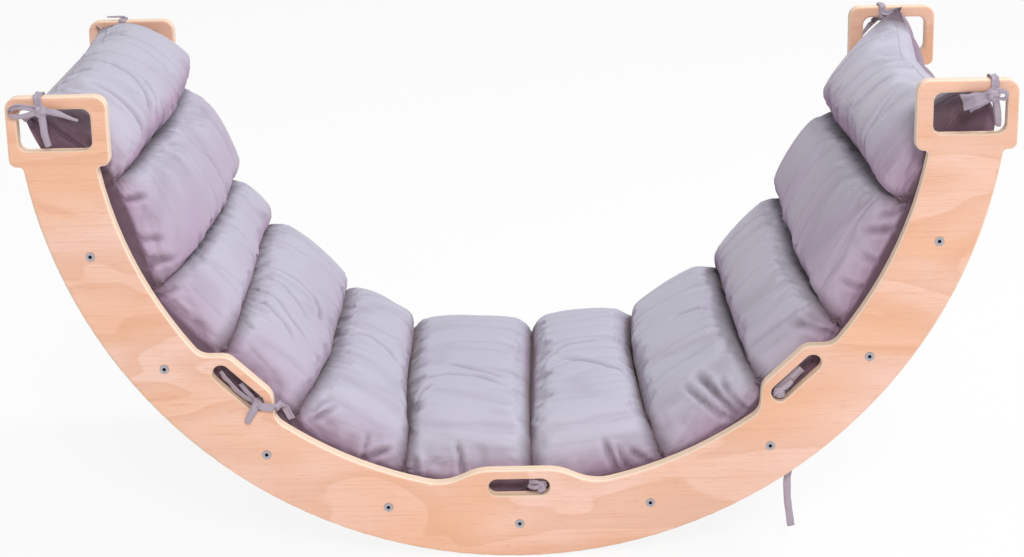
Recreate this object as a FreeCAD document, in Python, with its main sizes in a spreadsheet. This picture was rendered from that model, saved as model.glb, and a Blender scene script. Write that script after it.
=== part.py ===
# Rocking climbing frame: two plywood side panels, nine dowel rungs and a channel cushion tied into them.
#
# Millimetres. X runs along the frame, Y across it with the front panel at -Y, and Z is up. The origin is
# under the middle of the frame, on the ground that the panels' curved edges rock on. Angles along the
# panels are degrees about the centre of that curve, from straight down and positive towards +X.
import FreeCAD, Part
import math
import os
import re
import Sketcher

SIZES = {
    # side panels
    "outer_radius": 540,
    "band_width": 80,
    "panel_thickness": 18,
    "inside_width": 480,
    "neck_round": 5,
    "edge_round": 3,
    # handle block at each end of a panel, and the wood round its window
    "handle_height": 78,
    "handle_rise": 6,
    "handle_corner": 14,
    "handle_lower_corner": 8.8,
    "handle_ledge": 6,
    "top_bar": 14,
    "window_sill": 18,
    "window_inner_wall": 18,
    "window_outer_wall": 12,
    "window_corner": 10,
    # bumps on the inner edge, each with a grip slot
    "bump_height": 25,
    "bump_angle": 43.5,
    "middle_bump_top": 90,
    "middle_bump_foot": 170,
    "middle_bump_round": 60,
    "side_bump_top": 66,
    "side_bump_foot": 112,
    "side_bump_round": 20,
    "slot_bar": 11,
    "slot_length": 70,
    "slot_height": 20,
    # rungs
    "rung_count": 9,
    "rung_step": 17.4,
    "rung_diameter": 32,
    "rung_chamfer": 1.5,
    "rung_seat": 6,
    "rung_clearance": 0.1,
    # countersunk connector screws
    "screw_head": 10,
    "screw_land": 0.5,
    "screw_recess": 0.3,
    "screw_shank": 6,
    "screw_length": 50,
    "screw_tip": 3,
    "screw_clearance": 0.1,
    "hex_width": 4,
    "hex_depth": 3,
    "bore_spare": 2,
    # cushion
    "cushion_side_gap": 4,
    "cushion_rest_gap": 0.8,
    "cushion_crown": 100,
    "cushion_seam": 53,
    "cushion_hem": 14,
    "cushion_hem_crown": 18,
    "cushion_hem_lift": 14,
    "cushion_sag": 10,
    "cushion_left_lean": 46,
    "cushion_left_drop": 12,
    "cushion_right_lean": 24,
    "cushion_right_drop": 4,
    "cushion_right_slack": 38,
    "cushion_left_height": 56,
    "cushion_right_height": 46,
    "cushion_back_bulge": 3,
    "cushion_corner_pull": 6,
    # fabric ties
    "strap_width": 9,
    "strap_thickness": 1.6,
    "tie_gap": 0.3,
    "tie_corner": 2.5,
    "knot_length": 20,
    "knot_height": 15,
    "knot_depth": 12,
    "slot_knot_drop": 15.5,
    "slot_tie_inset": 15,
    "front_left_inset": 37,
    "front_right_inset": 28,
    "rear_right_inset": 69,
    "rear_left_inset": 45,
}

# Seams between the cushion's channels, which have settled unevenly: degrees along the panels at the front
# hem and at the rear hem, how far the seam strays between them, and how much lower it lies in mid width.
SEAMS = (
    (-78.0, -80.0, 0.8, 8),
    (-61.6, -63.0, -0.3, 0),
    (-48.5, -50.8, -2.4, -14),
    (-34.3, -34.1, 0.6, -4),
    (-16.6, -18.9, -1.2, 4),
    (2.2, 2.7, 0.0, -16),
    (21.2, 21.4, -1.6, 2),
    (38.6, 39.2, 0.0, -4),
    (52.9, 56.3, 1.0, -6),
    (72.8, 73.0, 0.4, 6),
)
# Channels from left to right: how much lower than the others each crest lies, and how far it slumps to the
# right as a share of its height. The crests of the two end channels have heights of their own.
CHANNELS = (
    (0, 0.25),
    (1, 0.20),
    (3, 0.20),
    (-7, 0.25),
    (3, 0.15),
    (-7, 0.05),
    (-7, 0.0),
    (3, -0.10),
    (0, -0.08),
    (2, -0.06),
    (0, -0.06),
)
# Places over a channel where its section is drawn, from seam to seam, and how round that section is.
CHANNEL_STEPS = (0, 0.05, 0.14, 0.26, 0.38, 0.5, 0.62, 0.74, 0.86, 0.95, 1)
CHANNEL_ROUND = 0.7
# Stations across the cushion where its section is drawn, as shares of its half width.
CUSHION_STATIONS = (-1, -0.97, -0.88, -0.72, -0.42, 0, 0.42, 0.72, 0.88, 0.97, 1)
CUSHION_END_POWER = 5
# Hand-chosen points (X, Z) down the middle of the hanging tail, from the middle of its slot's bar.
SLOT_TAIL_POINTS = (
    (-4, -23), (3, -38), (9, -58), (11, -83), (8, -113), (4, -139), (5, -169), (10, -197),
)

# Places of X and Y in a point, for edges that run along the frame or across it.
ALONG, ACROSS = 0, 1

INNER_RADIUS = "(outer_radius - band_width)"
RUNG_CIRCLE = "(outer_radius - band_width / 2)"
HANDLE_BOTTOM = "(handle_rise - handle_height)"
OUTER_NECK = f"sqrt(outer_radius ^ 2 - {HANDLE_BOTTOM} ^ 2)"
INNER_NECK = f"sqrt({INNER_RADIUS} ^ 2 - {HANDLE_BOTTOM} ^ 2)"
HANDLE_OUTER = f"({OUTER_NECK} + handle_lower_corner + handle_ledge)"
HANDLE_INNER = f"({INNER_NECK} - handle_lower_corner - handle_ledge)"
BUMP_TOP = f"({INNER_RADIUS} - bump_height)"
SLOT_ROUND = "(0.49 * slot_height)"
PANEL_MIDDLE = "(inside_width / 2 + panel_thickness / 2)"
PANEL_OUTSIDE = "(inside_width / 2 + panel_thickness)"
KNOT_OUTSIDE = "(panel_thickness / 2 + tie_gap + knot_depth / 2)"
SLOT_TIE_PLACE = "(slot_length / 2 - slot_tie_inset)"
BUMPS = (
    ("-bump_angle", "side_bump_top", "side_bump_foot", "side_bump_round"),
    ("0", "middle_bump_top", "middle_bump_foot", "middle_bump_round"),
    ("bump_angle", "side_bump_top", "side_bump_foot", "side_bump_round"),
)

doc = FreeCAD.newDocument("climbing_frame")
sheet = doc.addObject("Spreadsheet::Sheet", "sizes")
for row, (alias, number) in enumerate(SIZES.items(), start=1):
    sheet.set(f"A{row}", alias)
    sheet.set(f"B{row}", str(number))
    sheet.setAlias(f"B{row}", alias)
doc.recompute()


def in_cells(formula):
    """The formula with each size written as a cell of the sheet."""
    return re.sub(r"[a-z_]+", lambda word: f"sizes.{word[0]}" if word[0] in SIZES else word[0], formula)


def amount(formula):
    """What a formula of sizes comes to."""
    return float(sheet.evalExpression(in_cells(formula)))


def bind(thing, **formulas):
    """Bind properties to formulas of sizes; two underscores stand for a dot in a property's path."""
    for path, formula in formulas.items():
        thing.setExpression(path.replace("__", "."), in_cells(formula))


def on_curve(angle, along, radius):
    """Formulas of X and Z about the panels' centre, for a place at a radius and along its tangent."""
    x = f"({radius}) * sin({angle}) + ({along}) * cos({angle})"
    z = f"({along}) * sin({angle}) - ({radius}) * cos({angle})"
    return x, z


def new_body(label):
    body = doc.addObject("PartDesign::Body", label)
    body.Label = label
    return body


def origin_feature(body, role):
    return next(feature for feature in body.Origin.OriginFeatures if feature.Role == role)


def new_sketch(body, role, name, offset="0"):
    """A sketch on one of the body's own planes, moved along the plane's normal."""
    sketch = body.newObject("Sketcher::SketchObject", f"{body.Name}_{name}")
    sketch.AttachmentSupport = [(origin_feature(body, role), "")]
    sketch.MapMode = "FlatFace"
    bind(sketch, AttachmentOffset__Base__z=offset)
    return sketch


def hold_point(sketch, geometry, point, place):
    """Hold a point of the sketch at a pair of formulas, measured from the sketch's origin."""
    for kind, formula in zip(("DistanceX", "DistanceY"), place):
        number = sketch.addConstraint(Sketcher.Constraint(kind, -1, 1, geometry, point, amount(formula)))
        bind(sketch, **{f"Constraints[{number}]": formula})


def draw_polygon(sketch, corners):
    """A closed outline of straight lines; each corner is a pair of formulas."""
    first = sketch.GeometryCount
    points = [FreeCAD.Vector(amount(x), amount(y), 0) for x, y in corners]
    followers = points[1:] + points[:1]
    for start, end in zip(points, followers):
        sketch.addGeometry(Part.LineSegment(start, end), False)
    for number in range(len(corners)):
        after = (number + 1) % len(corners)
        sketch.addConstraint(Sketcher.Constraint("Coincident", first + number, 2, first + after, 1))
    for number, place in enumerate(corners):
        hold_point(sketch, first + number, 1, place)


def draw_rectangle(sketch, left, right, low, high):
    draw_polygon(sketch, [(left, low), (right, low), (right, high), (left, high)])


def draw_circle(sketch, place, radius):
    centre = FreeCAD.Vector(amount(place[0]), amount(place[1]), 0)
    circle = Part.Circle(centre, FreeCAD.Vector(0, 0, 1), amount(radius))
    geometry = sketch.addGeometry(circle, False)
    hold_point(sketch, geometry, 3, place)
    number = sketch.addConstraint(Sketcher.Constraint("Radius", geometry, amount(radius)))
    bind(sketch, **{f"Constraints[{number}]": radius})


def extrude(body, kind, name, sketch, length, reverse=False, both_ways=False):
    """A Pad or a Pocket of a sketch."""
    feature = body.newObject(f"PartDesign::{kind}", f"{body.Name}_{name}")
    feature.Profile = sketch
    feature.Reversed = reverse
    feature.Midplane = both_ways
    bind(feature, Length=length)
    doc.recompute()
    return feature


def round_edges(body, name, edges, radius):
    base = body.Tip
    fillet = body.newObject("PartDesign::Fillet", f"{body.Name}_{name}")
    fillet.Base = (base, edges)
    bind(fillet, Radius=radius)
    doc.recompute()
    return fillet


def edges_along(shape, axis, spots):
    """Names of the edges parallel to an axis, at pairs of formulas of the other two coordinates."""
    wanted = [(amount(first), amount(second)) for first, second in spots]
    near = 0.05
    names = []
    for number, edge in enumerate(shape.Edges, start=1):
        ends = [list(vertex.Point) for vertex in edge.Vertexes]
        for end in ends:
            end.pop(axis)
        if len(ends) < 2 or math.dist(ends[0], ends[1]) > near:
            continue
        if any(math.dist(ends[0], spot) < near for spot in wanted):
            names.append(f"Edge{number}")
    return names


def edges_on_faces(shape, heights):
    """Names of the edges that lie wholly at one of the given Y values."""
    near = 1e-4
    names = []
    for number, edge in enumerate(shape.Edges, start=1):
        box = edge.BoundBox
        if any(abs(box.YMin - y) < near and abs(box.YMax - y) < near for y in heights):
            names.append(f"Edge{number}")
    return names


def bump_corners(angle, top, foot):
    """Pairs of corners of a bump: at its top, at its feet on the inner edge, at its root in the band."""
    foot_radius = f"sqrt({INNER_RADIUS} ^ 2 - ({foot} / 2) ^ 2)"
    root_radius = f"({INNER_RADIUS} + band_width / 10)"
    slope = f"(({foot} - {top}) / 2 / ({foot_radius} - {BUMP_TOP}))"
    root_half = f"({foot} / 2 + {slope} * ({root_radius} - {foot_radius}))"
    tops = [on_curve(angle, f"{sign}{top} / 2", BUMP_TOP) for sign in ("-", "")]
    feet = [on_curve(angle, f"{sign}{foot} / 2", foot_radius) for sign in ("-", "")]
    roots = [on_curve(angle, f"{sign}{root_half}", root_radius) for sign in ("-", "")]
    return tops, feet, roots


def draw_panel_outline(body):
    """The curved band, its two handle blocks and its three bumps, with their corners rounded."""
    band = new_sketch(body, "XZ_Plane", "band")
    centre = ("0", "0")
    draw_circle(band, centre, "outer_radius")
    draw_circle(band, centre, INNER_RADIUS)
    extrude(body, "Pad", "band_pad", band, "panel_thickness")

    upper = new_sketch(body, "XZ_Plane", "upper_half")
    draw_rectangle(upper, "-2 * outer_radius", "2 * outer_radius", HANDLE_BOTTOM, "2 * outer_radius")
    extrude(body, "Pocket", "upper_half_cut", upper, "panel_thickness", reverse=True)

    handles = new_sketch(body, "XZ_Plane", "handles")
    for sign in ("-", ""):
        draw_rectangle(handles, sign + HANDLE_OUTER, sign + HANDLE_INNER, HANDLE_BOTTOM, "handle_rise")
    extrude(body, "Pad", "handles_pad", handles, "panel_thickness")

    bumps = new_sketch(body, "XZ_Plane", "bumps")
    for angle, top, foot, _ in BUMPS:
        tops, _, roots = bump_corners(angle, top, foot)
        draw_polygon(bumps, [tops[0], tops[1], roots[1], roots[0]])
    extrude(body, "Pad", "bumps_pad", bumps, "panel_thickness")

    sides = [sign + reach for sign in ("-", "") for reach in (HANDLE_OUTER, HANDLE_INNER)]
    necks = [sign + neck for sign in ("-", "") for neck in (OUTER_NECK, INNER_NECK)]
    for name, places, height, radius in (
        ("handle_corners", sides, "handle_rise", "handle_corner"),
        ("handle_lower_corners", sides, HANDLE_BOTTOM, "handle_lower_corner"),
        ("necks", necks, HANDLE_BOTTOM, "neck_round"),
    ):
        spots = [(x, height) for x in places]
        round_edges(body, name, edges_along(body.Tip.Shape, ACROSS, spots), radius)
    for number, (angle, top, foot, radius) in enumerate(BUMPS):
        tops, feet, _ = bump_corners(angle, top, foot)
        corners = edges_along(body.Tip.Shape, ACROSS, tops + feet)
        round_edges(body, f"bump_{number}_round", corners, radius)


def cut_panel_openings(body):
    """The handle windows and the grip slots, with round corners, and the softened edges of it all."""
    windows = new_sketch(body, "XZ_Plane", "windows")
    window_corners = []
    for sign in ("-", ""):
        sides = [
            f"{sign}({HANDLE_INNER} + window_inner_wall)",
            f"{sign}({HANDLE_OUTER} - window_outer_wall)",
        ]
        high = "handle_rise - top_bar"
        low = f"{HANDLE_BOTTOM} + window_sill"
        draw_rectangle(windows, sides[0], sides[1], low, high)
        window_corners += [(x, z) for x in sides for z in (low, high)]
    extrude(body, "Pocket", "windows_cut", windows, "panel_thickness", reverse=True)
    window_edges = edges_along(body.Tip.Shape, ACROSS, window_corners)
    round_edges(body, "window_rounds", window_edges, "window_corner")

    slots = new_sketch(body, "XZ_Plane", "slots")
    slot_corners = []
    for angle, *_ in BUMPS:
        near = f"({BUMP_TOP} + slot_bar)"
        far = f"({BUMP_TOP} + slot_bar + slot_height)"
        ends = ("-slot_length / 2", "slot_length / 2")
        outline = [(ends[0], near), (ends[1], near), (ends[1], far), (ends[0], far)]
        corners = [on_curve(angle, along, radius) for along, radius in outline]
        draw_polygon(slots, corners)
        slot_corners += corners
    extrude(body, "Pocket", "slots_cut", slots, "panel_thickness", reverse=True)
    round_edges(body, "slot_rounds", edges_along(body.Tip.Shape, ACROSS, slot_corners), SLOT_ROUND)

    faces = (0, -amount("panel_thickness"))
    round_edges(body, "soft_edges", edges_on_faces(body.Tip.Shape, faces), "edge_round")


def bore_panel(body):
    """A blind socket and a countersunk screw hole for each rung."""
    last_rung = on_curve("rung_step * (rung_count - 1) / 2", "0", RUNG_CIRCLE)
    socket_circle = new_sketch(body, "XZ_Plane", "socket_circle")
    draw_circle(socket_circle, last_rung, "rung_diameter / 2 + rung_clearance")
    socket = extrude(body, "Pocket", "socket", socket_circle, "rung_seat", reverse=True)

    hole_circle = new_sketch(body, "XZ_Plane", "hole_circle", "panel_thickness")
    draw_circle(hole_circle, last_rung, "screw_shank / 2 + screw_clearance")
    doc.recompute()
    hole = body.newObject("PartDesign::Hole", f"{body.Name}_screw_hole")
    hole.Profile = hole_circle
    hole.DepthType = "ThroughAll"
    hole.HoleCutType = "Countersink"
    hole.HoleCutCustomValues = True
    hole.HoleCutCountersinkAngle = 90
    mouth = "screw_head / 2 + screw_clearance + screw_recess + screw_land"
    bind(hole, Diameter="screw_shank + 2 * screw_clearance", HoleCutDiameter=f"2 * ({mouth})")
    doc.recompute()

    pattern = body.newObject("PartDesign::PolarPattern", f"{body.Name}_rung_pattern")
    pattern.Originals = [socket, hole]
    pattern.Axis = (origin_feature(body, "Y_Axis"), [""])
    bind(pattern, Angle="rung_step * (rung_count - 1)", Occurrences="rung_count")
    body.Tip = pattern
    doc.recompute()


def side_panel(label, turn):
    """A plywood panel; it is drawn about the centre of its curve, with its inner face at Y = 0."""
    body = new_body(label)
    draw_panel_outline(body)
    cut_panel_openings(body)
    bore_panel(body)
    body.Placement.Rotation = FreeCAD.Rotation(FreeCAD.Vector(0, 0, 1), turn)
    side = "-" if turn == 0 else ""
    bind(body, Placement__Base__y=f"{side}inside_width / 2", Placement__Base__z="outer_radius")
    return body


def rung_angle(number):
    return f"rung_step * ({number} - (rung_count - 1) / 2)"


def place_on_rung(body, number):
    """Put a body on the line of a rung."""
    x, z = on_curve(rung_angle(number), "0", RUNG_CIRCLE)
    bind(body, Placement__Base__x=x, Placement__Base__z=f"outer_radius + {z}")


def turned_profile(body, name, outline):
    """Revolve an outline of (radius, way along Y) formulas round the body's Y axis."""
    sketch = new_sketch(body, "XY_Plane", f"{name}_outline")
    draw_polygon(sketch, outline)
    revolution = body.newObject("PartDesign::Revolution", f"{body.Name}_{name}")
    revolution.Profile = sketch
    revolution.ReferenceAxis = (sketch, ["V_Axis"])
    revolution.Angle = 360
    doc.recompute()


def rung(number):
    """A turned dowel with chamfered ends and a pilot bore in each end."""
    body = new_body(f"rung_{number + 1}")
    end = "(inside_width / 2 + rung_seat - rung_clearance)"
    radius = "rung_diameter / 2"
    bore = "(screw_shank / 2 + screw_clearance)"
    wood = "(panel_thickness - rung_seat - screw_recess)"
    bore_end = f"({end} - (screw_length - {wood} + bore_spare))"
    half = [
        ("0", bore_end),
        (bore, bore_end),
        (bore, end),
        (f"{radius} - rung_chamfer", end),
        (radius, f"({end} - rung_chamfer)"),
    ]
    other_half = [(x, f"-{y}") for x, y in reversed(half)]
    turned_profile(body, "dowel", half + other_half)
    place_on_rung(body, number)
    return body


def screw(label, number, turn):
    """A countersunk connector screw with a hexagon socket; its head's face is at Y = 0."""
    body = new_body(label)
    head = "screw_head / 2"
    shank = "screw_shank / 2"
    cone_end = f"screw_land + {head} - {shank}"
    turned_profile(body, "blank", [
        ("0", "0"),
        (head, "0"),
        (head, "screw_land"),
        (shank, cone_end),
        (shank, "screw_length - screw_tip"),
        (f"{shank} - screw_tip / 2", "screw_length"),
        ("0", "screw_length"),
    ])
    hexagon = new_sketch(body, "XZ_Plane", "hexagon")
    reach = "hex_width / 2 / cos(30)"
    draw_polygon(hexagon, [(f"{reach} * cos({60 * k})", f"{reach} * sin({60 * k})") for k in range(6)])
    extrude(body, "Pocket", "socket", hexagon, "hex_depth")
    place_on_rung(body, number)
    body.Placement.Rotation = FreeCAD.Rotation(FreeCAD.Vector(0, 0, 1), turn)
    side = "-" if turn == 0 else ""
    bind(body, Placement__Base__y=f"{side}({PANEL_OUTSIDE} - screw_recess)")
    return body


def screw_set(label, turn):
    """The screws of one panel, as one group of separate solids."""
    count = int(amount("rung_count"))
    screws = [screw(f"{label}_{number + 1}", number, turn) for number in range(count)]
    group = doc.addObject("Part::Compound", label)
    group.Label = label
    group.Links = screws
    return group


def polar(angle, radius, y):
    """A point at an angle and radius about the panels' centre."""
    turn = math.radians(angle)
    centre_z = amount("outer_radius")
    return FreeCAD.Vector(radius * math.sin(turn), y, centre_z - radius * math.cos(turn))


def square_off(start, end, distance):
    """The point that far to the left of the middle of a line, in the plane of the panels."""
    chord = end - start
    left = FreeCAD.Vector(-chord.z, 0, chord.x).normalize()
    return (start + end) * 0.5 + left * distance


def channel_arch(start, end, height, lean):
    """A curve over one channel from seam to seam, boxier than an arc and slumped along its chord."""
    chord = end - start
    run = FreeCAD.Vector(chord).normalize()
    inward = FreeCAD.Vector(-run.z, 0, run.x)
    points = []
    for step in CHANNEL_STEPS:
        sweep = -math.cos(math.pi * step)
        side = math.copysign(abs(sweep) ** CHANNEL_ROUND, sweep) / 2
        lift = height * max(math.sin(math.pi * step), 0) ** CHANNEL_ROUND
        points.append((start + end) * 0.5 + chord * side + run * lean * lift + inward * lift)
    curve = Part.BSplineCurve()
    curve.interpolate(points)
    return curve.toShape()


def cushion_top(y, fullness, station, below, corners):
    """The edges over the channels, from the left corner to the right one."""
    hem = amount("cushion_hem")
    hem_crown = amount("cushion_hem_crown")
    seam_radius = below - hem - fullness * (amount("cushion_seam") - hem)
    crest_radius = below - hem_crown - fullness * (amount("cushion_crown") - hem_crown)
    least_height = 3
    seams = []
    for front, rear, stray, lower in SEAMS:
        angle = front + (rear - front) * (station + 1) / 2 + stray * (1 - station ** 2)
        seams.append(polar(angle, seam_radius + fullness * lower, y))
    lines = [corners[0]] + seams + [corners[1]]
    centre = FreeCAD.Vector(0, y, amount("outer_radius"))
    heights = []
    for start, end, (lower, _) in zip(lines, lines[1:], CHANNELS):
        reach = ((start + end) * 0.5 - centre).Length
        heights.append(max(reach - crest_radius - fullness * lower, least_height))
    heights[0] = least_height + fullness * amount("cushion_left_height")
    heights[-1] = least_height + fullness * amount("cushion_right_height")
    return [
        channel_arch(start, end, height, lean)
        for start, end, height, (_, lean) in zip(lines, lines[1:], heights, CHANNELS)
    ]


def cushion_section(station):
    """The cushion's outline at one station across its width.

    Above, one boxy arch per channel from seam to seam. Below, one arc per gap between rungs, which hangs
    a little into the gap. Towards the two ends the section thins to the hem.
    """
    fullness = math.sqrt(1 - abs(station) ** CUSHION_END_POWER)
    least_bulge = 1
    y = station * amount("inside_width / 2 - cushion_side_gap")
    rest = amount(f"{RUNG_CIRCLE} - rung_diameter / 2 - cushion_rest_gap")
    below = rest - (1 - fullness) * amount("cushion_hem_lift")
    sag_radius = below + fullness * amount("cushion_sag")

    reach = rest - (1 - fullness) * amount("cushion_corner_pull")
    right_z = amount("outer_radius - cushion_right_drop") - fullness * amount("cushion_right_slack")
    left_z = amount("outer_radius - cushion_left_drop")
    left = FreeCAD.Vector(-reach - amount("cushion_left_lean"), y, left_z)
    right = FreeCAD.Vector(reach + amount("cushion_right_lean"), y, right_z)
    edges = cushion_top(y, fullness, station, below, (left, right))

    count = int(amount("rung_count"))
    angles = [amount(rung_angle(number)) for number in reversed(range(count))]
    rests = [right] + [polar(angle, below, y) for angle in angles] + [left]
    hollows = [polar((angle + after) / 2, sag_radius, y) for angle, after in zip(angles, angles[1:])]
    bulge = least_bulge + fullness * amount("cushion_back_bulge")
    for place, (start, end) in ((0, rests[:2]), (count, rests[-2:])):
        hollows.insert(place, square_off(start, end, bulge))
    for start, hollow, end in zip(rests, hollows, rests[1:]):
        edges.append(Part.Arc(start, hollow, end).toShape())
    return Part.Wire(edges)


def cushion():
    """The channel cushion, lofted across its width."""
    mat = doc.addObject("Part::Feature", "cushion")
    mat.Label = "cushion"
    mat.Shape = Part.makeLoft([cushion_section(station) for station in CUSHION_STATIONS], True, False)
    return mat


def draw_strip(sketch, points, width):
    """The outline of a strip of even width along hand-chosen points."""
    left = []
    right = []
    for number, (x, y) in enumerate(points):
        before = points[max(number - 1, 0)]
        after = points[min(number + 1, len(points) - 1)]
        run = FreeCAD.Vector(after[0] - before[0], after[1] - before[1], 0).normalize()
        left.append((f"{x} - {run.y} * {width} / 2", f"{y} + {run.x} * {width} / 2"))
        right.append((f"{x} + {run.y} * {width} / 2", f"{y} - {run.x} * {width} / 2"))
    draw_polygon(sketch, left + right[::-1])


def wrap_bar(body, bar):
    """A strap wrapped once round a wooden bar; the body's origin is in the middle of the bar."""
    sketch = new_sketch(body, "YZ_Plane", "wrap")
    rims = []
    for thickness in ("strap_thickness", "0"):
        half_y = f"(panel_thickness / 2 + tie_gap + {thickness})"
        half_z = f"({bar} / 2 + tie_gap + {thickness})"
        draw_rectangle(sketch, f"-{half_y}", half_y, f"-{half_z}", half_z)
        rims.append([(y, z) for y in (f"-{half_y}", half_y) for z in (f"-{half_z}", half_z)])
    extrude(body, "Pad", "wrap_pad", sketch, "strap_width", both_ways=True)
    radii = ("tie_corner + strap_thickness", "tie_corner")
    for number, (corners, radius) in enumerate(zip(rims, radii)):
        round_edges(body, f"wrap_round_{number}", edges_along(body.Tip.Shape, ALONG, corners), radius)


def tie_knot(body, place):
    """A pulled-tight knot; its middle is (along the bar, up, out from the panel's middle)."""
    ball = body.newObject("PartDesign::AdditiveEllipsoid", f"{body.Name}_knot")
    ball.AttachmentSupport = [(origin_feature(body, "XY_Plane"), "")]
    ball.MapMode = "FlatFace"
    x, z, out = place
    bind(ball, Radius1="knot_height / 2", Radius2="knot_length / 2", Radius3="knot_depth / 2")
    bind(
        ball,
        AttachmentOffset__Base__x=x,
        AttachmentOffset__Base__y=f"-({out})",
        AttachmentOffset__Base__z=z,
    )
    doc.recompute()


def fabric_tie(label, bar, knot, tails=(), loops=()):
    """A wrapped strap with its knot, its flat tails and its bow loops, seen from outside the panel.

    A tail is a strip that lies flat on the panel. A loop is a strip on edge that comes back to the knot.
    """
    body = new_body(label)
    wrap_bar(body, bar)
    tie_knot(body, knot)
    outside = "panel_thickness / 2 + tie_gap"
    for number, points in enumerate(tails):
        sketch = new_sketch(body, "XZ_Plane", f"tail_{number}", outside)
        draw_strip(sketch, points, "strap_width")
        extrude(body, "Pad", f"tail_pad_{number}", sketch, "strap_thickness")
    for number, points in enumerate(loops):
        sketch = new_sketch(body, "XZ_Plane", f"loop_{number}", outside)
        draw_strip(sketch, points, "strap_thickness")
        extrude(body, "Pad", f"loop_pad_{number}", sketch, "strap_width")
    return body


def handle_tie(label, along, turn, **pieces):
    """A tie round the top bar of a handle, at a way along the frame."""
    body = fabric_tie(label, "top_bar", **pieces)
    body.Placement.Rotation = FreeCAD.Rotation(FreeCAD.Vector(0, 0, 1), turn)
    side = "-" if turn == 0 else ""
    bind(
        body,
        Placement__Base__x=along,
        Placement__Base__y=side + PANEL_MIDDLE,
        Placement__Base__z="outer_radius + handle_rise - top_bar / 2",
    )
    return body


def place_on_slot_bar(body, angle, along):
    """Put a tie on the bar of wood between a grip slot of the front panel and the top of its bump."""
    body.Placement.Rotation = FreeCAD.Rotation(FreeCAD.Vector(0, 1, 0), -amount(angle))
    x, z = on_curve(angle, along, f"({BUMP_TOP} + slot_bar / 2)")
    bind(
        body,
        Placement__Base__x=x,
        Placement__Base__y=f"-{PANEL_MIDDLE}",
        Placement__Base__z=f"outer_radius + {z}",
    )


def slot_tie(label, angle, along, root):
    """A tie that comes through a grip slot and is knotted in it; root is its reach behind the knot."""
    body = new_body(label)
    tie_knot(body, ("0", "-slot_knot_drop", "0"))
    sketch = new_sketch(body, "XZ_Plane", "root", f"-({root})")
    low, high = (f"-slot_knot_drop {sign} strap_thickness / 2" for sign in "-+")
    draw_rectangle(sketch, "-strap_width / 2", "strap_width / 2", low, high)
    extrude(body, "Pad", "root_pad", sketch, root)
    place_on_slot_bar(body, angle, along)
    return body


def wrapped_slot_tie(label, angle, along, **pieces):
    """A tie wrapped round the bar of a grip slot."""
    body = fabric_tie(label, "slot_bar", **pieces)
    place_on_slot_bar(body, angle, along)
    return body


def slot_tail():
    """The long end of the right slot's tie, which hangs straight down behind the front panel."""
    body = new_body("right_slot_tail")
    sketch = new_sketch(body, "XZ_Plane", "strip", "inside_width / 2 - tie_gap - 2 * strap_thickness")
    draw_strip(sketch, SLOT_TAIL_POINTS, "strap_width")
    extrude(body, "Pad", "strip_pad", sketch, "strap_thickness")
    x, z = on_curve("bump_angle", "0", f"({BUMP_TOP} + slot_bar / 2)")
    bind(body, Placement__Base__x=x, Placement__Base__z=f"outer_radius + {z}")
    return body


middle_root = "panel_thickness / 2 + cushion_side_gap - tie_gap"
right_root = "panel_thickness / 2 + strap_thickness"
sub_parts = [side_panel("front_panel", 0), side_panel("rear_panel", 180)]
sub_parts += [rung(number) for number in range(int(amount("rung_count")))]
sub_parts += [screw_set("front_screws", 0), screw_set("rear_screws", 180)]
sub_parts.append(cushion())
sub_parts += [
    handle_tie(
        "front_left_tie", f"-({HANDLE_OUTER} - front_left_inset)", 0,
        knot=("5", "-7", KNOT_OUTSIDE),
        tails=[[(5, -7), (22, -11), (41, -18)], [(5, -7), (7, -25), (9, -46)]],
        loops=[[(2, -4), (-14, -3), (-26, -6), (-29, -12), (-24, -16), (-12, -13), (2, -9)]],
    ),
    handle_tie(
        "front_right_tie", f"{HANDLE_OUTER} - front_right_inset", 0,
        knot=("-6", "-8", KNOT_OUTSIDE),
        tails=[[(-6, -8), (-20, -14), (-34, -20)], [(-6, -8), (2, -24), (6, -46)]],
        loops=[[(-2, -5), (6, -4), (12, -9), (10, -15), (-2, -11)]],
    ),
    handle_tie(
        "rear_right_tie", f"{HANDLE_OUTER} - rear_right_inset", 180,
        knot=("-4", "-8", KNOT_OUTSIDE),
        tails=[[(-4, -8), (-12, -24), (-16, -44)]],
        loops=[[(-8, -5), (-22, -4), (-31, -9), (-28, -17), (-18, -15), (-8, -11)]],
    ),
    handle_tie(
        "rear_left_tie", f"-({HANDLE_OUTER} - rear_left_inset)", 180,
        knot=("-3", "-8", KNOT_OUTSIDE),
        tails=[[(-3, -8), (-9, -24), (-11, -42)]],
        loops=[[(-7, -5), (-19, -3), (-28, -8), (-25, -16), (-16, -14), (-7, -11)]],
    ),
    wrapped_slot_tie(
        "left_slot_tie", "-bump_angle", SLOT_TIE_PLACE,
        knot=("2", "-6", KNOT_OUTSIDE),
        tails=[[(2, -6), (7, -22), (13, -38)]],
    ),
    slot_tie("middle_slot_tie", "0", SLOT_TIE_PLACE, middle_root),
    slot_tie("right_slot_tie", "bump_angle", f"-{SLOT_TIE_PLACE}", right_root),
    slot_tail(),
]
doc.recompute()

failed = [thing.Label for thing in doc.Objects if {"Invalid", "Error"} & set(thing.State)]
failed += [part.Label for part in sub_parts if part.Shape.isNull() or not part.Shape.isValid()]
if failed:
    raise RuntimeError(f"these objects failed: {failed}")

os.makedirs("parts", exist_ok=True)
for part in sub_parts:
    part.Shape.exportStep(f"parts/{part.Label}.step")
    box = part.Shape.BoundBox
    print(f"{part.Label}: {len(part.Shape.Solids)} solids, {part.Shape.Volume:.0f} mm3, {box}")
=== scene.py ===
"""Looks of a rocking climbing frame with a channel cushion tied between its two plywood panels."""
import math

import bmesh
import bpy
import numpy as np
from bpy.props import FloatProperty, IntProperty, PointerProperty, StringProperty
from mathutils import Matrix, Vector


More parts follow.
